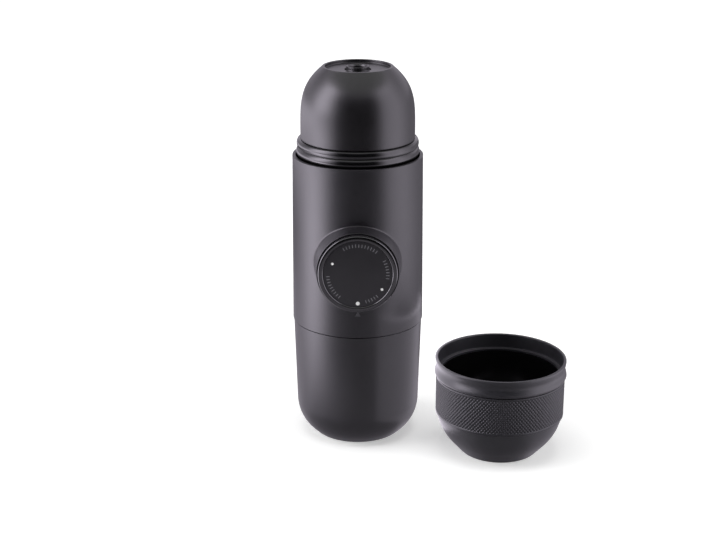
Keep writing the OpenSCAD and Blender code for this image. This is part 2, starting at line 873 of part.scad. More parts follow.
module plunger_head() {
    color(inner_white)
        on_piston_axis()
            difference() {
                disc(pump_bore_r - 0.25, -plunger_back_y, -plunger_front_y);
                disc(rod_tail_r + fixed_gap, -plunger_back_y - OVER, -plunger_front_y + OVER);
                for (s = seal_places)
                    let (t = -plunger_back_y + s * plunger_len, half = seal_d / 2 + fixed_gap)
                    ring(pump_bore_r - seal_d - 0.1, pump_bore_r + OVER, t - half, t + half);
            }
}

module plunger_seals() {
    color(gloss_black)
        on_piston_axis()
            for (s = seal_places)
                o_ring(pump_bore_r - seal_d / 2 - shaft_gap, seal_d / 2, -plunger_back_y + s * plunger_len);
}

module return_spring() {
    color(steel)
        on_piston_axis()
            translate([0, 0, spring_seat_t])
                coil(spring_mean_r, spring_wire_d, return_spring_len, spring_turns);
}

// Bayonet sleeve: three long slots join a ring groove at each end of the travel
module piston_guide() {
    groove_back_t = skirt_back_t + lug_len + axial_gap;
    front_groove_back_t = skirt_back_t + stroke - axial_gap;
    color(gloss_black)
        on_piston_axis()
            difference() {
                rotate_extrude($fn = ROUND)
                    polygon([
                        [groove_r, spring_seat_t], [guide_r, spring_seat_t],
                        [guide_r, guide_front_t], [guide_bore_r, guide_front_t],
                        [guide_bore_r, groove_front_t], [groove_r, groove_front_t],
                        [groove_r, front_groove_back_t], [guide_bore_r, front_groove_back_t],
                        [guide_bore_r, groove_back_t], [groove_r, groove_back_t]
                    ]);
                for (a = lug_places)
                    translate([0, 0, groove_back_t - OVER])
                        linear_extrude(height = front_groove_back_t - groove_back_t + 2 * OVER)
                            sector(guide_bore_r - OVER, groove_r, a, lug_angle + 2 * slot_side_gap);
            }
}

module knob_cap() {
    color(mid_black)
        on_piston_axis()
            difference() {
                union() {
                    disc(knob_r, knob_back_t, plate_front_t);
                    ring(skirt_bore_r, skirt_r, skirt_back_t, knob_back_t + EPS);
                    disc(boss_r, knob_back_t - boss_len, knob_back_t + EPS);
                    for (a = lug_places)
                        translate([0, 0, skirt_back_t])
                            linear_extrude(height = lug_len)
                                sector(skirt_bore_r + 0.2, lug_r, a, lug_angle);
                }
                disc(rod_r + shaft_gap, knob_back_t - boss_len - OVER, plate_front_t + OVER);
                disc(clip_r + slide_gap, clip_pocket_t, plate_front_t + OVER);
            }
}

module knob_rim() {
    inner_r = knob_r - knob_rim_w;
    color(gloss_black)
        on_piston_axis()
            rotate_extrude($fn = ROUND)
                polygon([
                    [inner_r, plate_front_t], [knob_r, plate_front_t],
                    [knob_r, knob_front_t - 0.7], [knob_r - 0.6, knob_front_t],
                    [inner_r + 0.4, knob_front_t], [inner_r, knob_front_t - 0.3]
                ]);
}

module knob_face() {
    color(mid_black)
        on_piston_axis()
            disc(knob_r - knob_rim_w - fixed_gap, plate_front_t, face_front_t);
}

// Generic marks on the knob's face: a big dot, two small ones and four arcs of short ticks
module knob_marks() {
    mark_t = 0.12;
    tick_arcs = [[52, 118], [-8, 28], [-74, -50], [184, 232]];
    tick_step = 6;
    tick = [1.5, 0.3];
    small_dots = [[155.8, mark_ring_r - 1], [-33, mark_ring_r - 0.5]];
    color(mark_white)
        on_piston_axis()
            translate([0, 0, face_front_t])
                linear_extrude(height = mark_t) {
                    rotate(-90)
                        translate([mark_ring_r + 0.3, 0])
                            circle(r = 0.85, $fn = 24);
                    for (dot = small_dots)
                        rotate(dot[0])
                            translate([dot[1], 0])
                                circle(r = 0.6, $fn = 24);
                    for (limits = tick_arcs)
                        for (a = [limits[0] : tick_step : limits[1]])
                            rotate(a)
                                translate([mark_ring_r, 0])
                                    square(tick, center = true);
                }
}

module brew_head() {
    color(mid_black)
        difference() {
            union() {
                disc(plate_r, brew_bottom_z, brew_top_z);
                disc(neck_tube_r, brew_top_z - EPS, neck_top_z - neck_cap_t);
            }
            difference() {
                disc(neck_bore_r, brew_top_z, neck_top_z + OVER);
                disc(screen_boss_r, brew_top_z - OVER, screen_top_z - screen_t);
            }
            screw_hole(brew_bottom_z + 0.6, neck_top_z);
            at_ports() {
                disc(port_d / 2, brew_bottom_z - OVER, brew_top_z + OVER, SMALL_ROUND);
                for (side = [-1, 1])
                    translate([side * ear_x, 0, 0]) {
                        screw_hole(brew_bottom_z - OVER, brew_top_z + OVER);
                        disc(screw_head_r + 0.2, screw_seat_z, brew_top_z + OVER, SMALL_ROUND);
                    }
            }
        }
}

module brew_head_screws() {
    color(steel)
        at_ports()
            for (side = [-1, 1])
                translate([side * ear_x, 0, 0])
                    screw(screw_seat_z, screw_seat_z - brew_bottom_z + ear_h - 0.4, false);
}

module neck_ring() {
    hidden_h = 4;
    low_z = rim_z;
    mid_z = low_z + lower_bead_h;
    low_r = lower_bead_r - bead_bulge;
    high_r = upper_bead_r - bead_bulge;
    color(gloss_black)
        difference() {
            rotate_extrude($fn = ROUND)
                polygon(concat(
                    [[0, low_z - hidden_h], [low_r, low_z - hidden_h]],
                    bead(low_r, low_z, mid_z, bead_bulge),
                    bead(high_r, mid_z + 0.1, neck_top_z, bead_bulge),
                    [[0, neck_top_z]]
                ));
            disc(neck_tube_r + fixed_gap, low_z - hidden_h - OVER, neck_top_z - neck_cap_t);
            disc(neck_bore_r, low_z, neck_top_z + OVER);
        }
}

module basket_gasket() {
    color(silicone)
        ring(gasket_bore_r, neck_bore_r - 0.2, brew_top_z, gasket_top_z);
}

module shower_screen() {
    color(steel)
        translate([0, 0, screen_top_z - screen_t])
            linear_extrude(height = screen_t)
                difference() {
                    pierced_disc(screen_r, screen_boss_r);
                    circle(r = screw_r + fixed_gap, $fn = SMALL_ROUND);
                }
}

module screen_screw() {
    color(steel)
        screw(screen_top_z, screen_top_z - brew_bottom_z - 0.8, false);
}

module filter_basket() {
    color(steel) {
        difference() {
            union() {
                disc(head_skirt_r, gasket_top_z, flange_top_z);
                disc(basket_r, gasket_top_z, basket_end_z - basket_floor_t);
            }
            disc(basket_bore_r, gasket_top_z - OVER, basket_end_z + OVER);
        }
        translate([0, 0, basket_end_z - basket_floor_t])
            linear_extrude(height = basket_floor_t)
                pierced_disc(basket_r, 0);
    }
}

module outlet_head_shell() {
    steps = 28;
    outer = [for (i = [0 : steps]) let (h = head_h * sin(90 * i / steps)) [dome_r(h), head_base_z + h]];
    cavity_h = ceiling_z - head_base_z;
    inner = [
        for (i = [0 : steps])
            let (h = seat_ledge_z - head_base_z + (cavity_h - seat_ledge_z + head_base_z) * i / steps)
            [dome_r(h + head_wall / 2) - head_wall, head_base_z + h]
    ];
    color(soft_grey)
        difference() {
            union() {
                rotate_extrude($fn = ROUND)
                    polygon(concat([[0, head_top_z], [0, head_base_z]], outer));
                disc(head_skirt_r, flange_top_z, head_base_z + EPS);
                thread_ridges(head_skirt_r, head_ridge_r, head_base_z - 3, 4);
            }
            disc(head_skirt_bore_r, flange_top_z - OVER, seat_ledge_z + EPS);
            rotate_extrude($fn = ROUND)
                polygon(concat([[0, ceiling_z], [0, seat_ledge_z]], inner));
            disc(head_top_r - recess_edge, recess_z, head_top_z + OVER);
            disc(nozzle_r + 0.9, recess_z - 1.2, head_top_z);
            disc(nozzle_r + fixed_gap, ceiling_z - OVER, head_top_z, SMALL_ROUND);
        }
}

// Plate over the basket that gathers the coffee and holds the crema valve
module filter_seat() {
    hub_r = nozzle_r + 1.8;
    color(mid_black)
        difference() {
            union() {
                disc(filter_seat_r, seat_ledge_z, filter_seat_top_z);
                disc(hub_r, filter_seat_top_z - EPS, nozzle_foot_z + socket_depth);
            }
            disc(2, seat_ledge_z - OVER, crema_floor_z + OVER, SMALL_ROUND);
            disc(nozzle_bore_r, crema_floor_z, nozzle_foot_z + EPS, SMALL_ROUND);
            disc(nozzle_r + fixed_gap, nozzle_foot_z, nozzle_foot_z + socket_depth + OVER, SMALL_ROUND);
        }
}

module nozzle_tube() {
    color(gloss_black)
        difference() {
            union() {
                disc(nozzle_r, nozzle_foot_z, nozzle_top_z, SMALL_ROUND);
                disc(nozzle_r + 1.6, ceiling_z - nozzle_flange_t, ceiling_z, SMALL_ROUND);
            }
            disc(nozzle_bore_r, nozzle_foot_z - OVER, nozzle_top_z + OVER, SMALL_ROUND);
        }
}

// Three-armed guide in the nozzle, whose stem holds the top of the crema spring
module nozzle_diverter() {
    ring_h = 3.2;
    hub_r = 1.3;
    arm_w = 0.9;
    tip_h = 1.6;
    ring_z = diverter_top_z - tip_h - ring_h;
    seat_z = crema_floor_z + poppet_disc_t + crema_spring_h;
    color(mark_grey)
        union() {
            ring(nozzle_bore_r - 0.8, nozzle_bore_r - fixed_gap, ring_z, ring_z + ring_h, SMALL_ROUND);
            disc(hub_r, seat_z, ring_z + ring_h, SMALL_ROUND);
            disc(nozzle_bore_r - 1.1, seat_z, seat_z + 1, SMALL_ROUND);
            translate([0, 0, ring_z + ring_h])
                cylinder(r1 = hub_r, r2 = 0.3, h = tip_h, $fn = SMALL_ROUND);
            for (a = [90, 210, 330])
                rotate(a)
                    translate([0, -arm_w / 2, ring_z])
                        cube([nozzle_bore_r - 0.4, arm_w, ring_h]);
        }
}

module crema_valve_poppet() {
    color(silicone)
        poppet(nozzle_bore_r - 0.8, crema_floor_z);
}

module crema_valve_spring() {
    color(steel)
        translate([0, 0, crema_floor_z + poppet_disc_t])
            coil(nozzle_bore_r - 1.6, valve_wire_d, crema_spring_h, valve_turns + 1);
}

module at_cup() {
    translate([cup_x, cup_y, 0])
        children();
}

module cup_shell() {
    side = vessel_side(
        0, cup_step_h, cup_shoulder_r, cup_shoulder_z, cup_draft, cup_bend_r, cup_bend_turn, 0
    );
    inner = vessel_side(
        cup_wall + 0.2, cup_step_h, cup_shoulder_r, cup_shoulder_z, cup_draft, cup_bend_r,
        cup_bend_turn, cup_floor_t
    );
    color(soft_grey)
        at_cup()
            difference() {
                rotate_extrude($fn = ROUND)
                    polygon(concat(
                        [[0, 0], [0, cup_groove_z], [cup_band_r, cup_groove_z], [cup_band_r, cup_step_h]],
                        side
                    ));
                rotate_extrude($fn = ROUND)
                    polygon(concat(
                        [
                            [0, cup_floor_t], [0, cup_groove_z + OVER],
                            [cup_shell_bore_r, cup_groove_z + OVER], [cup_shell_bore_r, cup_step_h + cup_wall]
                        ],
                        inner
                    ));
            }
}

module cup_collar() {
    waist_r = cup_lip_r - 0.5;
    waist_z = cup_collar_z + 4.1;
    bulge_z = cup_collar_z + 0.7;
    lip_z = cup_h - 0.7;
    ledge_t = 1.1;
    color(soft_grey)
        at_cup()
            difference() {
                rotate_extrude($fn = ROUND)
                    polygon(concat(
                        [
                            [0, cup_groove_z], [cup_band_r - 0.6, cup_groove_z],
                            [cup_band_r - 0.6, cup_collar_z], [cup_collar_r - 0.4, cup_collar_z]
                        ],
                        swing(cup_collar_r, bulge_z, waist_r, waist_z),
                        swing(waist_r, waist_z + 0.1, cup_lip_r, lip_z),
                        [[cup_lip_r - 0.4, cup_h], [0, cup_h]]
                    ));
                disc(bowl_top_r + fixed_gap, cup_groove_z - OVER, cup_collar_z);
                disc(bowl_top_r - cup_bowl_wall + 0.3, cup_collar_z - OVER, cup_h);
                disc(cup_mouth_r, cup_collar_z + ledge_t, cup_h + OVER);
            }
}

module cup_bowl() {
    outer = vessel_side(
        0, cup_collar_z, bowl_shoulder_r, bowl_shoulder_z, bowl_draft, bowl_bend_r, bowl_bend_turn,
        bowl_base_z
    );
    inner = vessel_side(
        cup_bowl_wall, cup_collar_z + OVER, bowl_shoulder_r, bowl_shoulder_z, bowl_draft, bowl_bend_r,
        bowl_bend_turn, bowl_base_z + cup_bowl_wall
    );
    color(gloss_black)
        at_cup()
            difference() {
                rotate_extrude($fn = ROUND)
                    polygon(concat([[0, bowl_base_z], [0, cup_collar_z]], outer));
                rotate_extrude($fn = ROUND)
                    polygon(concat([[0, bowl_base_z + cup_bowl_wall], [0, cup_collar_z + OVER]], inner));
            }
}

echo(return_spring_gap = coil_gap(spring_mean_r, spring_wire_d, return_spring_len, spring_turns));
echo(valve_spring_gap = coil_gap(room_r - 1.3, valve_wire_d, valve_spring_h, valve_turns));
echo(crema_spring_gap = coil_gap(nozzle_bore_r - 1.6, valve_wire_d, crema_spring_h, valve_turns + 1));

tank_shell();
main_body_shell();
body_base();
tank_seal();
inlet_strainer();
vent_valve();
base_screws();
pump_block();
inlet_valve_seat();
inlet_valve_poppet();
inlet_valve_spring();
outlet_valve_poppet();
outlet_valve_spring();
port_seals();
cylinder_cap();
piston_rod();
plunger_head();
plunger_seals();
rod_clip();
return_spring();
piston_guide();
knob_cap();
knob_rim();
knob_face();
knob_marks();
body_index_mark();
brew_head();
brew_head_screws();
neck_ring();
basket_gasket();
shower_screen();
screen_screw();
filter_basket();
outlet_head_shell();
filter_seat();
nozzle_tube();
nozzle_diverter();
crema_valve_poppet();
crema_valve_spring();
cup_shell();
cup_collar();
cup_bowl();
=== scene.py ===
# %% [markdown]
# # A handheld espresso maker, dressed for its picture
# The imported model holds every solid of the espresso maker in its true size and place. This
# notebook gives those solids their looks. Pieces that the eye meets first are made again as fine
# surfaces, and pieces that only show when the maker is taken apart keep their solids.

# %% Load the model
import json
import math

import bmesh
import bpy
import numpy as np
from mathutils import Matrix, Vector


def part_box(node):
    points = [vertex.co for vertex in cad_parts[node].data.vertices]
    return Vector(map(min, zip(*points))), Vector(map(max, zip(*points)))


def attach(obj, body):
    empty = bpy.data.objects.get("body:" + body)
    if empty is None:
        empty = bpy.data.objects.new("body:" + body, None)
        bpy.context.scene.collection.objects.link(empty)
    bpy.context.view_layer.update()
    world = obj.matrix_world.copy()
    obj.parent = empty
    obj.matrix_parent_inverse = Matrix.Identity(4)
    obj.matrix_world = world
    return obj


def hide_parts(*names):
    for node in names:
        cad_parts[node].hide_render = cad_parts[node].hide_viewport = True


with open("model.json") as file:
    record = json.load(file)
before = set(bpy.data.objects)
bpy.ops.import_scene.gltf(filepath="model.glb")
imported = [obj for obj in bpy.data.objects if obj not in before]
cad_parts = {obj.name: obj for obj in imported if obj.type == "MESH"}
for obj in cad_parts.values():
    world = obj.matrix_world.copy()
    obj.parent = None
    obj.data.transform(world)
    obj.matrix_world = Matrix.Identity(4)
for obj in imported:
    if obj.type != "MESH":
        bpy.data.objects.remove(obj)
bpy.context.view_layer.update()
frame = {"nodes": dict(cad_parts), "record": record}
MM = 0.001

# %% [markdown]
# ## Measures that several pieces share
# The heights run up from the table, in millimetres. Most are the figures that the solids were
# built from, so that a fine surface lies where its solid lies. The neck's top and the dome's foot
# and top differ from them by less than a millimetre, to follow the real maker more closely.

# %% Shared measures
SEAM_Z = 57.0
RIM_Z = 135.2
KNOB_Z = 90.7
NECK_TOP_Z = 142.45
HEAD_BASE_Z = 142.55
HEAD_TOP_Z = 175.4
RECESS_Z = 173.9
CUP_X, CUP_Y = 65.6, -24.1
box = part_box("main_body_shell")
print("body shell from", round(box[0].z / MM, 1), "to", round(box[1].z / MM, 1), "mm")

# %% [markdown]
# ## Turned surfaces
# Almost every piece of this maker is round, so one helper does most of the work: it carries a
# profile round an axis. The profile is a list of (radius, height) points that runs against the
# clock, up the outside and down the inside, and then the faces point outwards by themselves.
# A spin tool could do this too, but whole arrays are quicker and keep the face order known.

# %% Surface helpers
SAME_PLACE = 2e-7  # metres, below which two points are one


def grid_faces(around, along, ring=True, loop=False):
    """Quads of a grid with `around` columns and `along` rows. Each quad joins a point, its
    neighbour in the next column, that one's neighbour in the next row, and back."""
    columns, rows = np.arange(around - (not ring)), np.arange(along - (not loop))
    i, j = np.meshgrid(columns, rows, indexing="ij")
    i2, j2 = (i + 1) % around, (j + 1) % along
    quads = [i * along + j, i2 * along + j, i2 * along + j2, i * along + j2]
    return np.stack(quads, -1).reshape(-1, 4)


def add_object(name, data):
    """A new object that holds the data, at the origin and unturned, linked to the scene."""
    thing = bpy.data.objects.new(name, data)
    bpy.context.scene.collection.objects.link(thing)
    return thing


def add_piece(name, points, faces, material, sharp=38.0, turn_out=False):
    """A mesh object from points in millimetres. Points that fall together are merged, which
    closes the poles and seams, and edges that turn by more than `sharp` degrees stay crisp.
    `turn_out` turns the faces of a piece outwards where their order isn't known."""
    mesh = bpy.data.meshes.new(name)
    places = np.asarray(points, float).reshape(-1, 3) * MM
    mesh.from_pydata(places.tolist(), [], faces if isinstance(faces, list) else faces.tolist())
    work = bmesh.new()
    work.from_mesh(mesh)
    bmesh.ops.remove_doubles(work, verts=work.verts, dist=SAME_PLACE)
    if turn_out:
        bmesh.ops.recalc_face_normals(work, faces=work.faces)
    work.to_mesh(mesh)
    work.free()
    mesh.validate()
    mesh.shade_smooth()
    mesh.set_sharp_from_angle(angle=math.radians(sharp))
    mesh.materials.append(material)
    return add_object(name, mesh)


def place(piece, body, nodes):
    """Ties a piece to the body that carries it and hides the solids that it stands for."""
    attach(piece, body)
    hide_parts(*nodes)
    print(piece.name, len(piece.data.polygons), "faces")
    return piece


def rounded(corners, steps=5):
    """Profile with rounded corners. Each row is (radius, height, cut): the path leaves its
    straight run one cut before the corner and meets the next run one cut after it, along a
    quadratic curve whose handle is the corner."""
    p = np.array([c[:2] for c in corners], float)
    cut = np.array([c[2] if len(c) > 2 else 0.0 for c in corners], float)
    before, after = np.roll(p, 1, 0) - p, np.roll(p, -1, 0) - p
    len_b, len_a = np.linalg.norm(before, axis=1), np.linalg.norm(after, axis=1)
    start = p + before * np.minimum(cut / np.maximum(len_b, 1e-9), 0.49)[:, None]
    end = p + after * np.minimum(cut / np.maximum(len_a, 1e-9), 0.49)[:, None]
    t = np.linspace(0, 1, steps)[None, :, None]
    path = (1 - t) ** 2 * start[:, None] + 2 * t * (1 - t) * p[:, None] + t ** 2 * end[:, None]
    path = path.reshape(-1, 2)
    keep = np.r_[True, np.linalg.norm(np.diff(path, axis=0), axis=1) > 1e-6]
    return path[keep]


def arc(cr, cz, r, a0, a1, steps=24):
    """Points of a circular stretch: centre plus radius times (cosine, sine) of the angle."""
    a = np.radians(np.linspace(a0, a1, steps))
    return np.c_[cr + r * np.cos(a), cz + r * np.sin(a)]


def spin(profile, columns=192, loop=False, x0=0.0, y0=0.0):
    """Carries a profile round a vertical axis at (x0, y0): x and y are the radius times the
    cosine and sine of the turn, z is the height. Gives the points and the faces."""
    a = np.linspace(0, 2 * np.pi, columns, endpoint=False)[:, None]
    r, z = profile[:, 0], profile[:, 1]
    z = np.broadcast_to(z, (columns, len(z)))
    points = np.stack([x0 + np.cos(a) * r, y0 + np.sin(a) * r, z], -1)
    return points, grid_faces(columns, len(profile), True, loop)


def to_piston(points):
    """Turns points drawn along +Z so that they run out of the body along the piston: the
    drawn height becomes the way towards the front, and the drawn y becomes the height."""
    p = np.asarray(points, float)
    return np.stack([p[..., 0], -p[..., 2], KNOB_Z + p[..., 1]], -1)


def joined(*parts):
    """Several point and face arrays as one pair, with each part's faces counted on."""
    points, faces, count = [], [], 0
    for p, f in parts:
        p = np.asarray(p, float).reshape(-1, 3)
        points.append(p)
        faces.append(np.asarray(f) + count)
        count += len(p)
    return np.concatenate(points), np.concatenate(faces)


print("helpers ready")

# %% [markdown]
# ## Finishes
# The maker is almost all one colour, so its finishes have to differ in how they take the light:
# soft-touch plastic spreads a highlight wide, the neck ring and the knob's rim keep it narrow,
# and steel stretches it along its brush lines. Fine grain is an effect that all of them share,
# so it is a node group. It is given a size, a depth and a stretch along the height, and gives
# back a bent normal and a mask of faint patches, which each material uses in its own way.

# %% The shared grain group
def grain_group():
    """Node group of two noise patterns, of which the broad one is eight times as large as the
    fine one. The broad one is the mask of patches, and the fine one, used as a height, gives
    the normal."""
    group = bpy.data.node_groups.new("moulded_grain", "ShaderNodeTree")
    for name, default in (("Size", 900.0), ("Depth", 0.05), ("Stretch", 1.0)):
        socket = group.interface.new_socket(name, in_out="INPUT", socket_type="NodeSocketFloat")
        socket.default_value = default
    group.interface.new_socket("Patches", in_out="OUTPUT", socket_type="NodeSocketFloat")
    group.interface.new_socket("Normal", in_out="OUTPUT", socket_type="NodeSocketVector")
    nodes, links = group.nodes, group.links
    given, given_out = nodes.new("NodeGroupInput"), nodes.new("NodeGroupOutput")
    coord, squeeze = nodes.new("ShaderNodeTexCoord"), nodes.new("ShaderNodeCombineXYZ")
    squeeze.inputs["X"].default_value = squeeze.inputs["Y"].default_value = 1.0
    stretched = nodes.new("ShaderNodeVectorMath")
    stretched.operation = "MULTIPLY"
    links.new(given.outputs["Stretch"], squeeze.inputs["Z"])
    links.new(coord.outputs["Object"], stretched.inputs[0])
    links.new(squeeze.outputs["Vector"], stretched.inputs[1])
    fine, broad = nodes.new("ShaderNodeTexNoise"), nodes.new("ShaderNodeTexNoise")
    fine.inputs["Detail"].default_value = 3.0
    broad.inputs["Detail"].default_value = 2.0
    smaller = nodes.new("ShaderNodeMath")
    smaller.operation = "DIVIDE"
    smaller.inputs[1].default_value = 8.0
    bump = nodes.new("ShaderNodeBump")
    bump.inputs["Distance"].default_value = 0.00005
    links.new(stretched.outputs["Vector"], fine.inputs["Vector"])
    links.new(stretched.outputs["Vector"], broad.inputs["Vector"])
    links.new(given.outputs["Size"], fine.inputs["Scale"])
    links.new(given.outputs["Size"], smaller.inputs[0])
    links.new(smaller.outputs[0], broad.inputs["Scale"])
    links.new(fine.outputs["Fac"], bump.inputs["Height"])
    links.new(given.outputs["Depth"], bump.inputs["Strength"])
    links.new(broad.outputs["Fac"], given_out.inputs["Patches"])
    links.new(bump.outputs["Normal"], given_out.inputs["Normal"])
    return group


GRAIN = grain_group()
print("group inputs:", [s.name for s in GRAIN.interface.items_tree])

# %% One maker for all finishes
def srgb(*values):
    """Screen values from 0 to 255 as linear light: below 10.3 a plain division, and above it a
    power curve of 2.4."""
    v = np.array(values, float) / 255
    return [float(x) for x in np.where(v <= 0.04045, v / 12.92, ((v + 0.055) / 1.055) ** 2.4)]


def make_finish(name, dark, light, rough, spread, size, depth, stretch=1.0, **shader):
    """Material whose colour drifts from `dark` to `light` over the grain's patches, and whose
    roughness drifts by `spread` about `rough`. Plain values go on the shader's own sockets."""
    material = bpy.data.materials.new(name)
    material.use_nodes = True
    nodes, links = material.node_tree.nodes, material.node_tree.links
    surface = nodes["Principled BSDF"]
    grain = nodes.new("ShaderNodeGroup")
    grain.node_tree = GRAIN
    for socket, value in (("Size", size), ("Depth", depth), ("Stretch", stretch)):
        grain.inputs[socket].default_value = value
    tint = nodes.new("ShaderNodeMix")
    tint.data_type = "RGBA"
    tint.inputs["A"].default_value = (*srgb(*dark), 1)
    tint.inputs["B"].default_value = (*srgb(*light), 1)
    gloss = nodes.new("ShaderNodeMapRange")
    gloss.inputs["To Min"].default_value = rough - spread
    gloss.inputs["To Max"].default_value = rough + spread
    links.new(grain.outputs["Patches"], tint.inputs["Factor"])
    links.new(grain.outputs["Patches"], gloss.inputs["Value"])
    links.new(tint.outputs["Result"], surface.inputs["Base Color"])
    links.new(gloss.outputs["Result"], surface.inputs["Roughness"])
    links.new(grain.outputs["Normal"], surface.inputs["Normal"])
    for socket, value in shader.items():
        surface.inputs[socket.replace("_", " ")].default_value = value
    material.diffuse_color = (*srgb(*light), 1)
    return material


METAL = {"Metallic": 1.0}
FINISH = {key: make_finish(*row[:-1], **row[-1]) for key, row in {
    # name, dark and light colour, roughness and its spread, grain size and depth (and its
    # stretch for the metals), other sockets
    "soft_grey": ("soft_touch_grey", (19, 18, 21), (24, 23, 26), 0.36, 0.03, 1400, 0.22, {}),
    "head_grey": ("soft_touch_darker", (12, 11, 13), (16, 15, 17), 0.32, 0.03, 1400, 0.2, {}),
    "cup_grey": ("cup_grey", (25, 25, 28), (30, 30, 34), 0.38, 0.04, 1200, 0.2, {}),
    "cup_lower": ("cup_lower_grey", (36, 36, 39), (42, 41, 45), 0.38, 0.04, 1200, 0.2, {}),
    "gloss_black": ("gloss_black", (8, 8, 9), (11, 11, 12), 0.15, 0.03, 300, 0.03, {}),
    "rim_black": ("polished_rim", (8, 8, 9), (11, 11, 12), 0.12, 0.02, 300, 0.03,
                  {"Specular_IOR_Level": 1.0}),
    "satin_black": ("satin_black", (27, 26, 29), (32, 31, 34), 0.36, 0.04, 1100, 0.12, {}),
    "inner_plastic": ("natural_plastic", (186, 184, 176), (200, 198, 190), 0.42, 0.05, 500, 0.1,
                      {}),
    "steel": ("brushed_steel", (182, 184, 187), (202, 204, 206), 0.27, 0.07, 700, 0.12, 9.0, METAL),
    "brass": ("turned_brass", (196, 160, 86), (214, 180, 108), 0.26, 0.06, 600, 0.1, 8.0, METAL),
    "silicone": ("silicone", (150, 148, 144), (164, 162, 158), 0.48, 0.05, 500, 0.08, {}),
    "black_rubber": ("black_rubber", (24, 24, 25), (30, 30, 31), 0.6, 0.06, 900, 0.15, {}),
    "mark_white": ("printed_white", (214, 214, 214), (232, 232, 232), 0.5, 0.05, 2500, 0.1, {}),
    "mark_grey": ("printed_grey", (104, 103, 108), (118, 117, 122), 0.5, 0.05, 2500, 0.1, {}),
    "faint_mark": ("faint_mark", (54, 53, 57), (62, 61, 65), 0.5, 0.05, 2500, 0.1, {}),
}.items()}
print("finishes:", len(FINISH))

# %% [markdown]
# ## The solids that stay
# Screws, springs, valves, seals and the filter basket only show when the maker is apart. Their
# solids are already right, so each one is only given the finish that the record names for it.
# The pointer below the knob stays too, in a grey of its own, because it hardly shows.

# %% Finish every solid
def dress(solid, finish):
    """Gives a solid one finish in place of any that it had."""
    solid.data.materials.clear()
    solid.data.materials.append(finish)


for part in frame["record"]["subparts"]:
    dress(frame["nodes"][part["node"]], FINISH[part["material_slot"]])
dress(frame["nodes"]["body_index_mark"], FINISH["faint_mark"])
print("solids with a finish:", len(frame["nodes"]))

# %% [markdown]
# ## The water tank
# The tank is a cup with a round bottom: a wall that narrows a little, a circular stretch that
# carries on smoothly from it, a short straight stretch and a flat foot. The foot's edge and the
# mouth's edges are rounded, because a moulded edge always catches a thin line of light.

# %% Profile of a round-bottomed vessel
def vessel(inset, top_z, shoulder_r, shoulder_z, slope, bend_r, turn, base_z, foot_cut=0.0):
    """Profile from the axis out along the base and up the side: the base, a straight stretch at
    the end angle, a circular stretch tangent to both its neighbours, and the sloping wall.
    `inset` moves all of it inwards by a wall's thickness."""
    slope_a = math.radians(slope)
    cr = shoulder_r - bend_r * math.cos(slope_a)
    cz = shoulder_z + bend_r * math.sin(slope_a)
    r = bend_r - inset
    last = min(slope + turn, math.degrees(math.asin(min(1.0, (cz - base_z) / r))))
    round_part = arc(cr, cz, r, -last, -slope, 40)
    foot_r = round_part[0, 0] - max(0.0, round_part[0, 1] - base_z) * math.tan(math.radians(last))
    top_r = round_part[-1, 0] + (top_z - round_part[-1, 1]) * math.tan(slope_a)
    foot = rounded([(0, base_z), (foot_r, base_z, foot_cut), tuple(round_part[0])])[:-1]
    return np.vstack([foot, round_part, [[top_r, top_z]]])


# %% Tank
TANK_TOP_Z = 56.6
MOUTH_R, LEDGE_Z = 26.7, 45.6
tank_form = (28.7, 15.9, 1.69, 18.9, 44.5)
outer = vessel(0, TANK_TOP_Z - 0.35, *tank_form, 0, 1.4)
inner = vessel(2.2, LEDGE_Z, *tank_form, 2.6, 0.6)[::-1]
mouth = rounded([
    tuple(outer[-1]), (outer[-1, 0], TANK_TOP_Z, 0.35), (MOUTH_R, TANK_TOP_Z, 0.3),
    (MOUTH_R, LEDGE_Z, 0.3), tuple(inner[0]),
])[1:-1]
tank = add_piece("tank_wall", *spin(np.vstack([outer, mouth, inner])), FINISH["soft_grey"])
place(tank, "tank", ["tank_shell"])

# %% [markdown]
# ## The main body and its flared collar
# The body is a slightly tapered tube, and a round collar grows out of its front to hold the
# piston's knob. On the moulding the collar doesn't meet the tube at a corner, it flows into it.
# A boolean of two solids would leave a hard crease there. Instead the front half of the body is
# a grid of lines that start at its outline and run in over the tube, up the flow, over the
# collar's crest and down into its bore. The back half is a plain grid that shares the edges.

# %% The collar's flow into the body
CREST_R, CREST_T, DRAFT = 18.35, 37.9, math.tan(math.radians(4.5))
BORE_R, GUIDE_R, GUIDE_T = 17.9, 17.7, 35.5
CREST_DROP = 1.4  # how far below its top the crest's own profile begins


def body_radius(z):
    """Radius of the body's outside: 30.3 mm at the seam, narrowing evenly to 29.7 mm."""
    return 30.3 - 0.6 * (z - SEAM_Z) / (RIM_Z - SEAM_Z)


def front_depth(rho, angle, radius=None):
    """How far the tube's surface stands in front of the axis at a polar place about the piston:
    the root of radius squared minus sideways distance squared."""
    z = KNOB_Z + rho * np.sin(angle)
    r = body_radius(z) if radius is None else radius
    return np.sqrt(np.maximum(r ** 2 - (rho * np.cos(angle)) ** 2, 0.0))


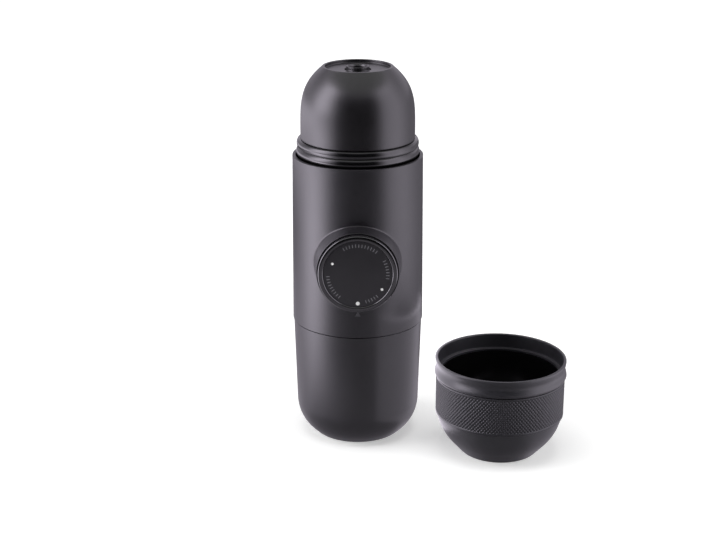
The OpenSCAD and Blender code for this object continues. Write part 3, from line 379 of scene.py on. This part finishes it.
def collar_lines(angle, steps=9):
    """For each angle, the way in from the tube to the collar's bore, as (distance from the
    piston's axis, depth) pairs. The flow is a quadratic curve between the tube and the collar's
    side, whose handle is where the two tangent lines cross."""
    reach = 0.6 + 0.2 * np.cos(angle) ** 2
    meet = np.full_like(angle, 21.0)
    for _ in range(12):
        meet = CREST_R + (CREST_T - front_depth(meet, angle)) * DRAFT
    low = meet + reach
    low_t = front_depth(low, angle)
    slope = (front_depth(low + 0.01, angle) - low_t) / 0.01
    handle = (CREST_R + DRAFT * (CREST_T - low_t + slope * low)) / (1 + DRAFT * slope)
    handle_t = low_t + slope * (handle - low)
    lead = np.hypot(low - handle, low_t - handle_t) * 0.95
    rise = np.minimum(lead, CREST_T - CREST_DROP - handle_t)
    high, high_t = handle - rise * DRAFT, handle_t + rise
    t = np.linspace(0, 1, 14)[None, :]
    flow = [(1 - t) ** 2 * a[:, None] + 2 * t * (1 - t) * b[:, None] + t ** 2 * c[:, None]
            for a, b, c in ((low, handle, high), (low_t, handle_t, high_t))]
    crest = rounded([
        (CREST_R + CREST_DROP * DRAFT, CREST_T - CREST_DROP), (CREST_R, CREST_T, 0.22),
        (BORE_R, CREST_T, 0.15), (BORE_R, GUIDE_T, 0.05), (GUIDE_R, GUIDE_T, 0.05),
        (GUIDE_R, GUIDE_T - 1.5),
    ], steps)
    crest_rho = np.broadcast_to(crest[:, 0], (len(angle), len(crest)))
    crest_t = np.broadcast_to(crest[:, 1], (len(angle), len(crest)))
    return np.hstack([flow[0], crest_rho]), np.hstack([flow[1], crest_t])


# %% Front half, back half and rims of the body
INNER_R = 28.2
EDGE = 0.45
side_rows, top_columns, back_columns = 60, 76, 100
low_z, high_z = SEAM_Z + EDGE, RIM_Z - EDGE
across = np.linspace(-np.pi / 2, np.pi / 2, top_columns + 1)
up = np.linspace(low_z, high_z, side_rows + 1)
outline = np.vstack([
    np.c_[across[:-1], np.full(top_columns, low_z)],
    np.c_[np.full(side_rows, np.pi / 2), up[:-1]],
    np.c_[across[:0:-1], np.full(top_columns, high_z)],
    np.c_[np.full(side_rows, -np.pi / 2), up[:0:-1]],
])
MEAN_R = 30.0  # turns a turn in radians into a rough width, to aim each line at the piston
ray = np.arctan2(outline[:, 1] - KNOB_Z, outline[:, 0] * MEAN_R)
rho, depth = collar_lines(ray)
ray_cos, ray_sin = np.cos(ray), np.sin(ray)
flow_points = to_piston(np.stack([rho * ray_cos[:, None], rho * ray_sin[:, None], depth], -1))


def turn_height(points):
    """Turn about the body's axis from straight in front, and height, of each point."""
    return np.stack([np.arctan2(points[:, 0], -points[:, 1]), points[:, 2]], -1)


start = turn_height(flow_points[:, 0])


def on_tube(pairs, radius):
    """Points on a tube from (turn, height) pairs, with no turn at the front."""
    turn, z = pairs[..., 0], pairs[..., 1]
    r = radius(z) if callable(radius) else radius
    return np.stack([r * np.sin(turn), -r * np.cos(turn), z], -1)


share = (np.linspace(0, 1, 19)[:-1] ** 0.85)[None, :, None]
outside = on_tube(outline[:, None] * (1 - share) + start[:, None] * share, body_radius)
hole_t = front_depth(np.full_like(ray, GUIDE_R), ray, INNER_R)
hole = to_piston(np.stack([GUIDE_R * ray_cos, GUIDE_R * ray_sin, hole_t], -1))[:, None]
inner_start = turn_height(hole[:, 0])
share_in = np.linspace(0, 1, 9)[None, 1:, None]
inside = on_tube(inner_start[:, None] * (1 - share_in) + outline[:, None] * share_in, INNER_R)
front = np.concatenate([outside, flow_points, hole, inside], 1)
back_turn = np.linspace(np.pi / 2, 3 * np.pi / 2, back_columns + 1)
turn_grid, up_grid = np.meshgrid(back_turn, up, indexing="ij")
back = on_tube(np.stack([turn_grid, up_grid], -1), body_radius)
back_in = on_tube(np.stack([turn_grid, up_grid], -1), INNER_R)[:, ::-1]
all_turns = np.concatenate([across, back_turn[1:-1]])


def edge_strip(profile):
    """Strip round the tube from a profile of (radius, height) rows, on the body's own turns."""
    turn = np.broadcast_to(all_turns[:, None], (len(all_turns), len(profile)))
    points = np.stack([profile[:, 0] * np.sin(turn), -profile[:, 0] * np.cos(turn),
                       np.broadcast_to(profile[:, 1], turn.shape)], -1)
    return points, grid_faces(len(all_turns), len(profile), True, False)


top_edge = rounded([
    (body_radius(high_z), high_z), (body_radius(RIM_Z), RIM_Z, EDGE * 0.9),
    (INNER_R, RIM_Z, 0.25), (INNER_R, high_z),
])
low_edge = rounded([
    (INNER_R, low_z), (INNER_R, SEAM_Z, 0.2),
    (body_radius(SEAM_Z), SEAM_Z, EDGE * 0.7), (body_radius(low_z), low_z),
])
body = add_piece("body_tube", *joined(
    (front, grid_faces(*front.shape[:2], True, False)),
    (back, grid_faces(*back.shape[:2], False, False)),
    (back_in, grid_faces(*back_in.shape[:2], False, False)),
    edge_strip(top_edge), edge_strip(low_edge),
), FINISH["soft_grey"])
place(body, "body", ["main_body_shell"])

# %% [markdown]
# ## The neck ring
# Two gloss beads stand between the body and the outlet head. A bead's side is half a sine wave,
# fuller than a circle's stretch, which gives the long narrow highlights of polished plastic.

# %% Neck ring
def bead(base_r, z0, z1, bulge, steps=16):
    """Side of a bead: the radius swells with the sine of the way up, raised to 0.7 so that the
    bead's middle is flatter than a plain sine."""
    s = np.linspace(0, 1, steps)
    return np.c_[base_r + bulge * np.sin(np.pi * s) ** 0.7, z0 + (z1 - z0) * s]


FLANGE_Z = 142.4  # top of the brew head's flange, which the neck has to cover
neck_profile = np.vstack([
    [[26.1, 131.3], [27.35, 131.3]],
    bead(27.35, RIM_Z, 138.7, 0.6),
    bead(27.1, 138.95, NECK_TOP_Z - 0.05, 0.6),
    rounded([(27.1, NECK_TOP_Z), (24.4, NECK_TOP_Z, 0.3), (24.4, FLANGE_Z), (26.1, FLANGE_Z)])[1:],
])
neck = add_piece("neck_beads", *spin(neck_profile, 224, True), FINISH["gloss_black"], 50)
place(neck, "body", ["neck_ring"])

# %% [markdown]
# ## The outlet head
# The head is a dome with a rounded, almost square shoulder, and no circle fits it. A
# superellipse does: its power decides how full the shoulder is. The top is cut off and holds a
# shallow recess with a groove round the nozzle.

# %% Outlet head
DOME_Z = 143.2  # where the dome's curve starts
DOME_R, DOME_TOP_R, DOME_HEIGHT = 25.95, 16.1, 31.9
FULLNESS, ROUNDNESS = 4.25, 0.62


def dome_radius(h, start=0.35):
    """Radius at height h: base times (1 - (k s)^fullness)^(1 / roundness), where s is the share
    of the height and k is chosen so that the dome ends at its top radius."""
    k = (1 - (DOME_TOP_R / DOME_R) ** ROUNDNESS) ** (1 / FULLNESS)
    s = np.clip((h - start) / (DOME_HEIGHT - start), 0, 1)
    return DOME_R * (1 - (k * s) ** FULLNESS) ** (1 / ROUNDNESS)


dome_h = (HEAD_TOP_Z - 0.35 - DOME_Z) * np.sin(np.linspace(0.012, np.pi / 2, 90))
dome_side = np.c_[dome_radius(dome_h), DOME_Z + dome_h]
cavity_h = np.linspace(28.3, 1.2, 40)
cavity = np.c_[dome_radius(cavity_h + 1.2) - 2.4, DOME_Z + cavity_h]
thread = np.array([[23.6, 0.3], [24.1, 0.0], [24.1, -1.0], [23.6, -1.3]])[::-1]
ridges = np.vstack([thread + [0, DOME_Z - 3 - 2.8 * i] for i in (3, 2, 1, 0)])
head_profile = np.vstack([
    [[22.2, 124.3], [23.5, 124.3], [23.6, 124.4]], ridges,
    rounded([
        (23.6, 142.0), (23.6, HEAD_BASE_Z), (DOME_R, HEAD_BASE_Z, 0.35), tuple(dome_side[0]),
    ])[1:-1],
    dome_side[:-1],
    rounded([
        tuple(dome_side[-1]), (15.93, HEAD_TOP_Z, 0.8), (14.75, HEAD_TOP_Z, 0.3),
        (14.75, RECESS_Z, 0.35), (5.95, RECESS_Z, 0.2), (5.85, 172.7), (5.7, 172.7),
        (5.7, 171.5), (cavity[0, 0], 171.5, 0.5),
    ]),
    cavity, [[22.2, DOME_Z + 1.2]],
])
head = add_piece("head_dome", *spin(head_profile, 224, True), FINISH["head_grey"])
place(head, "head", ["outlet_head_shell"])

# %% [markdown]
# ## The nozzle
# The nozzle is a short satin tube. Inside it sits a guide with three arms and a small cone in
# the middle, which steadies the stream before it drops into the cup. Each arm's top is arched,
# so an arm is a box whose upper edge follows half a sine wave, and not a flat bar.

# %% Nozzle tube
nozzle_profile = rounded([
    (5.65, 150.0, 0.2), (5.65, 170.0), (7.25, 170.0, 0.1), (7.25, 171.45, 0.1), (5.65, 171.45),
    (5.65, 173.0), (5.2, RECESS_Z, 0.3), (5.1, HEAD_TOP_Z, 0.25), (4.6, HEAD_TOP_Z, 0.2),
    (4.0, 174.5, 0.3), (4.0, 150.0, 0.2),
])
nozzle = add_piece("nozzle_sleeve", *spin(nozzle_profile, 96, True), FINISH["head_grey"])
place(nozzle, "head", ["nozzle_tube"])

# %% Stream guide
def arm(angle, inner_r, outer_r, width, z0, z1, top_arch=0.5, rows=9):
    """An arm from the hub to the ring: a box whose top rises as half a sine wave along its
    length, with a narrow bevel on its upper edges. Gives its points, its sides as quads and
    its two ends as fans of triangles."""
    s = np.linspace(0, 1, rows)
    along = inner_r + (outer_r - inner_r) * s
    top = z1 + top_arch * np.sin(np.pi * s)
    cross = np.array([[-1, 0], [1, 0], [1, 0.88], [0.7, 1], [-0.7, 1], [-1, 0.88]])
    sides = len(cross)
    u = np.broadcast_to(along[:, None], (rows, sides))
    v = np.broadcast_to(cross[:, 0] * width / 2, (rows, sides))
    w = z0 + (top[:, None] - z0) * cross[:, 1]
    c, s = math.cos(math.radians(angle)), math.sin(math.radians(angle))
    points = np.stack([u * c - v * s, u * s + v * c, w], -1)
    k = np.arange(1, sides - 1)
    first_end = np.stack([0 * k, k, k + 1], -1)
    last_end = np.stack([0 * k, k + 1, k], -1) + sides * (rows - 1)
    quads = grid_faces(rows, sides, False, True)[:, ::-1]
    return points, quads, np.vstack([first_end, last_end])


GUIDE_Z, GUIDE_TOP_Z, CONE_Z = 167.2, 170.4, 172.0
ring_profile = rounded([
    (3.25, GUIDE_Z), (3.95, GUIDE_Z), (3.95, GUIDE_TOP_Z, 0.1), (3.25, GUIDE_TOP_Z, 0.1),
])
guide_ring = spin(ring_profile, 72, True)
hub_profile = rounded([
    (0, 158.8), (2.9, 158.8, 0.1), (2.9, 159.8, 0.1), (1.3, 159.8, 0.1), (1.3, GUIDE_TOP_Z, 0.15),
    (0.3, CONE_Z, 0.15), (0, CONE_Z),
])
hub = spin(hub_profile, 48)
arms = [arm(a, 0.9, 3.6, 0.9, GUIDE_Z, 170.3) for a in (90, 210, 330)]
star_points, star_quads = joined(guide_ring, hub, *[(points, quads) for points, quads, _ in arms])
star_faces = star_quads.tolist()
count = len(star_points) - sum(points.size // 3 for points, _, _ in arms)
for points, _, ends in arms:
    star_faces += (ends + count).tolist()
    count += points.size // 3
star = add_piece("stream_guide", star_points, star_faces, FINISH["satin_black"], turn_out=True)
place(star, "head", ["nozzle_diverter"])

# %% [markdown]
# ## The knob
# The knob has a satin face inside a gloss rim. The rim is a narrow ring with a rounded outer
# edge and a fine inner bead, and those two edges draw the thin bright lines round the face.

# %% Knob rim and face
FACE_T = 39.9
rim_profile = rounded([
    (15.3, 39.25), (17.6, 39.25, 0.1), (17.6, 40.3, 0.8), (15.65, 40.3, 0.3), (15.3, 39.95, 0.2),
])
rim_points, rim_faces = spin(rim_profile, 192, True)
rim = add_piece("knob_bright_rim", to_piston(rim_points), rim_faces, FINISH["rim_black"], 50)
place(rim, "knob", ["knob_rim"])

face_profile = rounded([(0, 39.2), (15.25, 39.2, 0.1), (15.25, FACE_T, 0.15), (0, FACE_T)])
face_points, face_faces = spin(face_profile, 160)
face = add_piece("knob_disc", to_piston(face_points), face_faces, FINISH["satin_black"])
place(face, "knob", ["knob_face"])

# %% Generic marks on the face
def prisms(outlines, low, high):
    """Flat plates from closed outlines of one length: each is given a lower and an upper ring,
    joined by a wall, and closed at both ends by a many-sided face."""
    n, m = outlines.shape[:2]
    rings = np.stack([np.dstack([outlines, np.full((n, m), z)]) for z in (low, high)], 1)
    base = (np.arange(n) * 2 * m)[:, None]
    k = np.arange(m)
    k2 = (k + 1) % m
    walls = np.stack([base + k, base + k2, base + m + k2, base + m + k], -1).reshape(-1, 4)
    upper_ends, lower_ends = base + m + k, base + k[::-1]
    return rings.reshape(-1, 3), walls.tolist() + upper_ends.tolist() + lower_ends.tolist()


MARK_R = 13.2
tick_angles = np.radians(np.concatenate([
    np.arange(52, 119, 6.0), np.arange(-8, 29, 6.0), np.arange(-74, -49, 6.0),
    np.arange(184, 233, 6.0),
]))
tick = np.array([[-0.75, -0.15], [0.75, -0.15], [0.75, 0.15], [-0.75, 0.15]])
c, s = np.cos(tick_angles)[:, None], np.sin(tick_angles)[:, None]
out_way, side_way = MARK_R + tick[:, 0], tick[:, 1]
ticks = np.stack([c * out_way - s * side_way, s * out_way + c * side_way], -1)
circle = np.linspace(0, 2 * np.pi, 24, endpoint=False)
dots = np.stack([
    np.stack([r * math.cos(math.radians(a)) + size * np.cos(circle),
              r * math.sin(math.radians(a)) + size * np.sin(circle)], -1)
    for a, r, size in ((-90, 13.5, 0.85), (155.8, MARK_R - 1, 0.6), (-33, MARK_R - 0.5, 0.6))
])


def print_marks(name, outlines, slot):
    """Marks as thin plates that stand a tenth of a millimetre out of the knob's face."""
    points, faces = prisms(outlines, FACE_T - 0.02, FACE_T + 0.1)
    mesh = bpy.data.meshes.new(name)
    mesh.from_pydata((to_piston(points) * MM).tolist(), [], faces)
    mesh.materials.append(FINISH[slot])
    return place(add_object(name, mesh), "knob", ["knob_marks"])


print_marks("face_ticks", ticks, "mark_grey")
print_marks("face_dots", dots, "mark_white")

# %% [markdown]
# ## The cup
# The cup is two shells with a collar. The outer one has a round bottom and a straight band with
# a diamond texture that gives a grip. Texture this size casts real shadows, so it is modelled
# and not only painted as a bump: the height of each point comes from how near it lies to the
# two crossing sets of slanting lines.

# %% Cup shell
COLLAR_Z = 36.9
cup_form = (28.8, 18.2, 9.7, 24.6, 32)
cup_side = vessel(0, 18.4, *cup_form, 0, 1.2)
cup_inside = vessel(1.6, 18.6, *cup_form, 2.2, 0.5)[::-1]
shell_profile = np.vstack([
    cup_side[:-1],
    rounded([
        tuple(cup_side[-2]), (28.87, 18.6, 0.1), (28.6, 18.75), (28.6, COLLAR_Z), (28.1, COLLAR_Z),
        (28.1, 20.0), tuple(cup_inside[0]),
    ])[1:-1],
    cup_inside,
])
shell_grid = spin(shell_profile, 192, x0=CUP_X, y0=CUP_Y)
shell = add_piece("cup_outer_shell", *shell_grid, FINISH["cup_lower"])
place(shell, "cup", ["cup_shell"])

# %% Textured band
BAND_R, DIAMONDS, DIAMOND_ROWS, PER_DIAMOND = 29.5, 118, 9, 8
band_low, band_high = 18.65, COLLAR_Z
pattern_low, pattern_high = 19.6, 36.4
columns = DIAMONDS * PER_DIAMOND


def lattice_height(u, v, land=0.55):
    """Height of the diamond pattern from 0 to 1 at the place (u, v), counted in diamonds. The
    distance to the nearest slanting ridge is a triangle wave of u + v and of u - v. The lesser
    of the two tells how deep the place lies, and `land` is the share at which it levels off."""
    near = lambda w: np.abs((w + 0.5) % 1 - 0.5) * 2
    return 1 - np.minimum(np.minimum(near(u + v), near(u - v)) / land, 1.0)


v = np.linspace(0, DIAMOND_ROWS, DIAMOND_ROWS * PER_DIAMOND + 1)
u = np.arange(columns) / PER_DIAMOND
height = lattice_height(u[:, None], v[None, :])
fade = np.clip(np.minimum(v, DIAMOND_ROWS - v) / 0.25, 0, 1)
pattern_r = BAND_R - 0.34 * (1 - height) * fade
turn = 2 * np.pi * u / DIAMONDS
pattern_rise = (pattern_high - pattern_low) * v / DIAMOND_ROWS
pattern_z = np.broadcast_to(pattern_low + pattern_rise, pattern_r.shape)
edge_low = rounded([(28.3, band_low), (BAND_R, band_low, 0.22), (BAND_R, pattern_low - 0.1)], 4)
edge_high = rounded([(BAND_R, pattern_high + 0.1), (BAND_R, band_high, 0.25), (28.3, band_high)], 4)
spread_rows = lambda rows, k: np.broadcast_to(rows[:, k], (columns, len(rows)))
band_r = np.hstack([spread_rows(edge_low, 0), pattern_r, spread_rows(edge_high, 0)])
band_z = np.hstack([spread_rows(edge_low, 1), pattern_z, spread_rows(edge_high, 1)])
turn = turn[:, None]
band_points = np.stack([CUP_X + band_r * np.cos(turn), CUP_Y + band_r * np.sin(turn), band_z], -1)
band_faces = grid_faces(columns, band_r.shape[1], True, True)
band = add_piece("cup_grip_band", band_points, band_faces, FINISH["cup_grey"], 60)
place(band, "cup", ["cup_shell"])

# %% Collar and liner
def swing(r0, z0, r1, z1, steps=10):
    """Side that swings smoothly from one point to another: half a cosine wave."""
    s = np.linspace(0, 1, steps)
    return np.c_[r0 + (r1 - r0) * (1 - np.cos(np.pi * s)) / 2, z0 + (z1 - z0) * s]


collar_profile = np.vstack([
    rounded([
        (28.1, COLLAR_Z), (28.9, COLLAR_Z), (28.9, 37.5), (30.0, 37.5, 0.2), (30.2, 38.2),
    ])[:-1],
    swing(30.2, 38.1, 29.45, 41.6), swing(29.45, 41.7, 29.93, 44.6),
    rounded([
        (29.93, 44.6), (29.95, 45.3, 0.4), (28.6, 45.3, 0.55), (28.6, 38.6, 0.25),
        (27.2, 38.6, 0.3), (27.2, 37.5, 0.1), (28.05, 37.5), (28.1, COLLAR_Z),
    ])[1:-1],
])
collar_grid = spin(collar_profile, 224, True, CUP_X, CUP_Y)
collar = add_piece("cup_top_collar", *collar_grid, FINISH["cup_grey"], 50)
place(collar, "cup", ["cup_collar"])

liner_form = (37.5, 26.6, 20.0, 4.57, 20.0, 45)
liner_out = vessel(0, *liner_form, 4.0, 0.8)
liner_in = vessel(1.1, *liner_form, 5.1, 0.8)[::-1]
liner_grid = spin(np.vstack([liner_out, liner_in]), 192, x0=CUP_X, y0=CUP_Y)
liner = add_piece("cup_liner", *liner_grid, FINISH["gloss_black"])
place(liner, "cup", ["cup_bowl"])

# %% [markdown]
# ## Floor and light
# The maker stands on a pale floor in front of white. The floor and the world show white to the
# camera, and the floor keeps the shadow under the maker. Two tall soft lights stand to the left
# and to the right, and a wide one hangs above. They light the floor and the plastic's own
# colour, and are hidden from reflections, which the next step paints by itself.

# %% Floor
def white_floor(name):
    """Pale diffuse floor with a little of its own light for the camera and for reflections, so
    that it reads as white while shadows still show. The glow grows evenly with the distance
    from the maker."""
    material = bpy.data.materials.new(name)
    material.use_nodes = True
    nodes, links = material.node_tree.nodes, material.node_tree.links
    nodes.clear()
    out, paint = nodes.new("ShaderNodeOutputMaterial"), nodes.new("ShaderNodeBsdfDiffuse")
    glow, add = nodes.new("ShaderNodeEmission"), nodes.new("ShaderNodeAddShader")
    path = nodes.new("ShaderNodeLightPath")
    seen, seen2, power = (nodes.new("ShaderNodeMath") for _ in range(3))
    seen.operation = seen2.operation = "MAXIMUM"
    power.operation = "MULTIPLY"
    paint.inputs["Color"].default_value = (0.8, 0.8, 0.8, 1)
    links.new(path.outputs["Is Camera Ray"], seen.inputs[0])
    links.new(path.outputs["Is Glossy Ray"], seen.inputs[1])
    links.new(seen.outputs[0], seen2.inputs[0])
    links.new(path.outputs["Is Transmission Ray"], seen2.inputs[1])
    place_on, far = nodes.new("ShaderNodeTexCoord"), nodes.new("ShaderNodeVectorMath")
    grow = nodes.new("ShaderNodeMapRange")
    far.operation = "LENGTH"
    growth = {"From Min": 0.12, "From Max": 0.75, "To Min": 0.4, "To Max": 0.85}
    for socket, value in growth.items():
        grow.inputs[socket].default_value = value
    links.new(place_on.outputs["Object"], far.inputs[0])
    links.new(far.outputs["Value"], grow.inputs["Value"])
    links.new(grow.outputs["Result"], power.inputs[1])
    links.new(seen2.outputs[0], power.inputs[0])
    links.new(power.outputs[0], glow.inputs["Strength"])
    links.new(paint.outputs[0], add.inputs[0])
    links.new(glow.outputs[0], add.inputs[1])
    links.new(add.outputs[0], out.inputs["Surface"])
    return material


floor_mesh = bpy.data.meshes.new("floor")
floor_mesh.from_pydata([(-3, -3, 0), (3, -3, 0), (3, 3, 0), (-3, 3, 0)], [], [(0, 1, 2, 3)])
floor_mesh.materials.append(white_floor("floor_white"))
floor = add_object("floor", floor_mesh)
print("floor ready")

# %% World and lamps
world = bpy.data.worlds.new("studio")
bpy.context.scene.world = world
world.use_nodes = True
nodes, links = world.node_tree.nodes, world.node_tree.links
nodes.clear()
sky_out, ambient, white = (nodes.new("ShaderNodeOutputWorld"), nodes.new("ShaderNodeBackground"),
                           nodes.new("ShaderNodeBackground"))
mix, path = nodes.new("ShaderNodeMixShader"), nodes.new("ShaderNodeLightPath")
either, any_of = nodes.new("ShaderNodeMath"), nodes.new("ShaderNodeMath")
either.operation = any_of.operation = "MAXIMUM"
ambient.inputs["Color"].default_value = (1, 1, 1, 1)
ambient.inputs["Strength"].default_value = 0.25
white.inputs["Color"].default_value = (1, 1, 1, 1)
white.inputs["Strength"].default_value = 1.0
links.new(path.outputs["Is Camera Ray"], either.inputs[0])
links.new(path.outputs["Is Glossy Ray"], either.inputs[1])
links.new(either.outputs[0], any_of.inputs[0])
links.new(path.outputs["Is Transmission Ray"], any_of.inputs[1])
links.new(any_of.outputs[0], mix.inputs["Fac"])
links.new(ambient.outputs[0], mix.inputs[1])
links.new(white.outputs[0], mix.inputs[2])
links.new(mix.outputs[0], sky_out.inputs["Surface"])


def soft_light(name, place_at, aim, width, height, radiance):
    """Rectangular lamp at a place in metres, turned to face a point and hidden from reflections.
    A lamp's power is pi times its radiance times its area."""
    data = bpy.data.lights.new(name, "AREA")
    data.shape = "RECTANGLE"
    data.size, data.size_y = width, height
    data.energy = math.pi * radiance * width * height
    lamp = add_object(name, data)
    lamp.visible_glossy = False
    lamp.location = place_at
    way = np.array(aim) - np.array(place_at)
    flat = math.hypot(way[0], way[1])
    lamp.rotation_euler = (math.atan2(flat, -way[2]), 0, math.atan2(-way[0], way[1]))
    return lamp


def standing_light(name, turn, distance, width, height, radiance):
    """Lamp that stands on the floor. `turn` is its place in degrees from straight in front,
    and to the right is positive."""
    a = math.radians(turn)
    at = (distance * math.sin(a), -distance * math.cos(a), height / 2 + 0.005)
    return soft_light(name, at, (0, 0, at[2]), width, height, radiance)


standing_light("left_light", -80, 0.55, 0.45, 0.6, 5.0)
standing_light("right_light", 88, 0.75, 1.2, 0.7, 1.8)
soft_light("top_light", (0.0, -0.10, 0.85), (0, 0, 0.1), 0.55, 0.5, 3.5)

# %% [markdown]
# ## Painted reflections on the plastic
# Dark plastic shows little colour of its own. Its tones are reflections of the studio, and a
# camera that looks down sees mostly the floor in them. So the bright and dark stretches on the
# plastic are painted reflections: a wide shallow bowl glows but lights nothing, and only
# reflections see it. It carries painted highlights and painted dark stretches where a
# photographer would put panels and black cards. Two small glowing cards stand between the
# maker and the cup, and each of the two mirrors the card on its own side as a painted highlight.

# %% Reflection bowl
# Radiance of the painted reflections by the turn in degrees from straight in front, near the maker
# and far from it
TURNS = [-180, -150, -125, -105, -92, -78, -64, -52, -40, -28,
         0, 22, 34, 45, 58, 85, 100, 120, 150, 180]
SHINE = [0.2, 0.15, 0.5, 1.9, 5.7, 8.8, 7.2, 3.0, 1.05, 0.7,
         0.62, 0.72, 1.05, 1.95, 3.2, 3.2, 2.0, 0.8, 0.2, 0.2]
SHINE_FAR = [0.4, 1.0, 2.8, 5.0, 5.4, 4.1, 2.4, 1.2, 0.5, 0.2,
             0, 0.3, 0.8, 1.9, 3.1, 3.1, 1.9, 0.8, 0.3, 0.4]
# Colour of the bowl's glow, and so of the painted highlights on the plastic.
BOWL_TINT = (0.94, 0.88, 1.0, 1)  # a faint violet, as in the real plastic's highlights


def smooth_step(x, low, high):
    """0 below `low`, 1 above `high`, and 3 t^2 - 2 t^3 between them."""
    t = np.clip((x - low) / (high - low), 0, 1)
    return t * t * (3 - 2 * t)


def bowl_shine(x, y, height, distance):
    """Radiance of the bowl at a place, by its turn: the painted highlights and painted dark
    stretches that the plastic mirrors. Close to the cup the turn is measured about the cup, so
    that the cup gets its own painted bright and dark stretches, and the brightest are cut down.
    Past 0.52 m on the floor the far row takes over, because the maker's upper parts mirror that
    stretch. The bowl is dim close to the maker and black far away in front, which paints shade and
    a dark stretch into the reflections. A faint painted highlight lies close behind the maker on
    the left, a fainter one lies on the wall behind it, and the wall grows bright again towards its
    top."""
    near_cup = 1 - smooth_step(np.hypot(x - CUP_X * MM, y - CUP_Y * MM), 0.07, 0.2)
    turn = np.degrees(np.arctan2(x - CUP_X * MM * near_cup, -(y - CUP_Y * MM * near_cup)))
    far = smooth_step(distance, 0.52, 0.58) * (1 - smooth_step(height, 0.05, 0.2))
    near_row, far_row = np.interp(turn, TURNS, SHINE), np.interp(turn, TURNS, SHINE_FAR)
    shine = (1 - far) * near_row + far * far_row
    shine = np.minimum(shine, 9.0 - 7.2 * near_cup)
    shine = shine * (0.22 + 0.78 * smooth_step(distance, 0.0, 0.32))
    front = 1 - smooth_step(np.abs(turn), 30, 55)
    shine = shine * (1 - front * smooth_step(distance, 0.3, 0.42))
    shine = shine + 0.6 * smooth_step(-turn, 95, 110) * (1 - smooth_step(distance, 0.15, 0.34))
    back_wall = smooth_step(np.abs(turn), 100, 140) * smooth_step(height, 0.15, 0.3)
    shine = shine + 0.7 * back_wall * (1 - smooth_step(height, 0.7, 1.0))
    return shine + 0.9 * smooth_step(height, 0.7, 1.4)


def painted_reflection_sheet(name, points, faces, shine):
    """Mesh that only reflections see, and that glows by the radiance given for each point. It
    lights nothing, so its glow is a painted reflection on the plastic.
    """
    mesh = bpy.data.meshes.new(name)
    mesh.from_pydata(points.reshape(-1, 3).tolist(), [], faces.tolist())
    given = mesh.attributes.new("shine", "FLOAT", "POINT")
    given.data.foreach_set("value", np.ravel(shine).astype(np.float32))
    material = bpy.data.materials.new(name)
    material.use_nodes = True
    nodes, links = material.node_tree.nodes, material.node_tree.links
    nodes.clear()
    out, glow = nodes.new("ShaderNodeOutputMaterial"), nodes.new("ShaderNodeEmission")
    stored = nodes.new("ShaderNodeAttribute")
    stored.attribute_name = "shine"
    glow.inputs["Color"].default_value = BOWL_TINT
    links.new(stored.outputs["Fac"], glow.inputs["Strength"])
    links.new(glow.outputs[0], out.inputs["Surface"])
    mesh.materials.append(material)
    sheet = add_object(name, mesh)
    for ray_kind in ("camera", "diffuse", "shadow", "transmission"):
        setattr(sheet, "visible_" + ray_kind, False)
    print(name, len(faces), "faces")
    return sheet


BOWL_START, BOWL_R, BOWL_TOP = 0.0205, 1.25, 1.5
FLOOR_ROWS, WALL_ROWS, BOWL_COLUMNS = 40, 12, 180
outward = BOWL_START * (BOWL_R / BOWL_START) ** np.linspace(0, 1, FLOOR_ROWS)
bowl_path = np.vstack([
    np.c_[outward, np.full(FLOOR_ROWS, 0.0006)],
    np.c_[np.full(WALL_ROWS, BOWL_R), np.linspace(0.02, BOWL_TOP, WALL_ROWS)],
])
bowl_size = (BOWL_COLUMNS, len(bowl_path))
bowl_turn = np.radians(np.arange(BOWL_COLUMNS) * 360.0 / BOWL_COLUMNS)[:, None]
reach = np.broadcast_to(bowl_path[:, 0], bowl_size)
bowl_z = np.broadcast_to(bowl_path[:, 1], bowl_size)
bowl = np.stack([reach * np.sin(bowl_turn), -reach * np.cos(bowl_turn), bowl_z], -1)
bowl_glow = bowl_shine(*np.moveaxis(bowl, -1, 0), reach)
painted_reflection_sheet("painted_reflection_bowl", bowl, grid_faces(*bowl_size), bowl_glow)

# %% Two glowing cards between the maker and the cup, which paint highlights
CARD_X, CARD_Y = 0.0327, -0.0121
ALONG_X, ALONG_Y = 0.349, 0.937  # the card's own direction, square to the way to the cup
CARD_GAP = 0.002
side = np.linspace(-0.035, 0.035, 8)[:, None]
rise = np.linspace(0.0, 0.06, 6)[None, :]
card = np.stack([CARD_X + side * ALONG_X + 0 * rise, CARD_Y + side * ALONG_Y + 0 * rise,
                 rise + 0 * side], -1)
cup_painted_highlight_card = card + [CARD_GAP * ALONG_Y, -CARD_GAP * ALONG_X, 0]
# Each card glows, lights nothing and is seen by reflections alone: the maker mirrors the first as a
# painted highlight on its side towards the cup, where the cup would otherwise be mirrored, and the
# cup mirrors the second as a painted highlight on its side towards the maker.
for name, points, shine in (("maker_painted_highlight_card", card, 1.25), ("cup_painted_highlight_card", cup_painted_highlight_card, 2.9)):
    size = points.shape[:2]
    painted_reflection_sheet(name, points, grid_faces(*size, False, False), np.full(size, shine))

# %% [markdown]
# ## Camera
# The camera stands where the photograph was taken from. Round edges look like ellipses, and how
# flat each one is tells how far above it the camera was, so its place and tilt were worked out
# from them. The lens is given by its focal length in pixels of the picture.

# %% Camera
FOCAL_PIXELS, PICTURE_WIDTH, TILT_DOWN = 1491.8, 716.0, 19.017
camera_data = bpy.data.cameras.new("photo_view")
camera_data.sensor_width = 36.0
camera_data.lens = FOCAL_PIXELS * camera_data.sensor_width / PICTURE_WIDTH
camera = add_object("photo_view", camera_data)
camera.location = (0.000105, -0.6578, 0.30584)
camera.rotation_euler = (math.radians(90 - TILT_DOWN), 0, 0)
bpy.context.scene.camera = camera
bpy.context.scene.view_settings.view_transform = "Standard"
print("lens", round(camera_data.lens, 2), "mm")
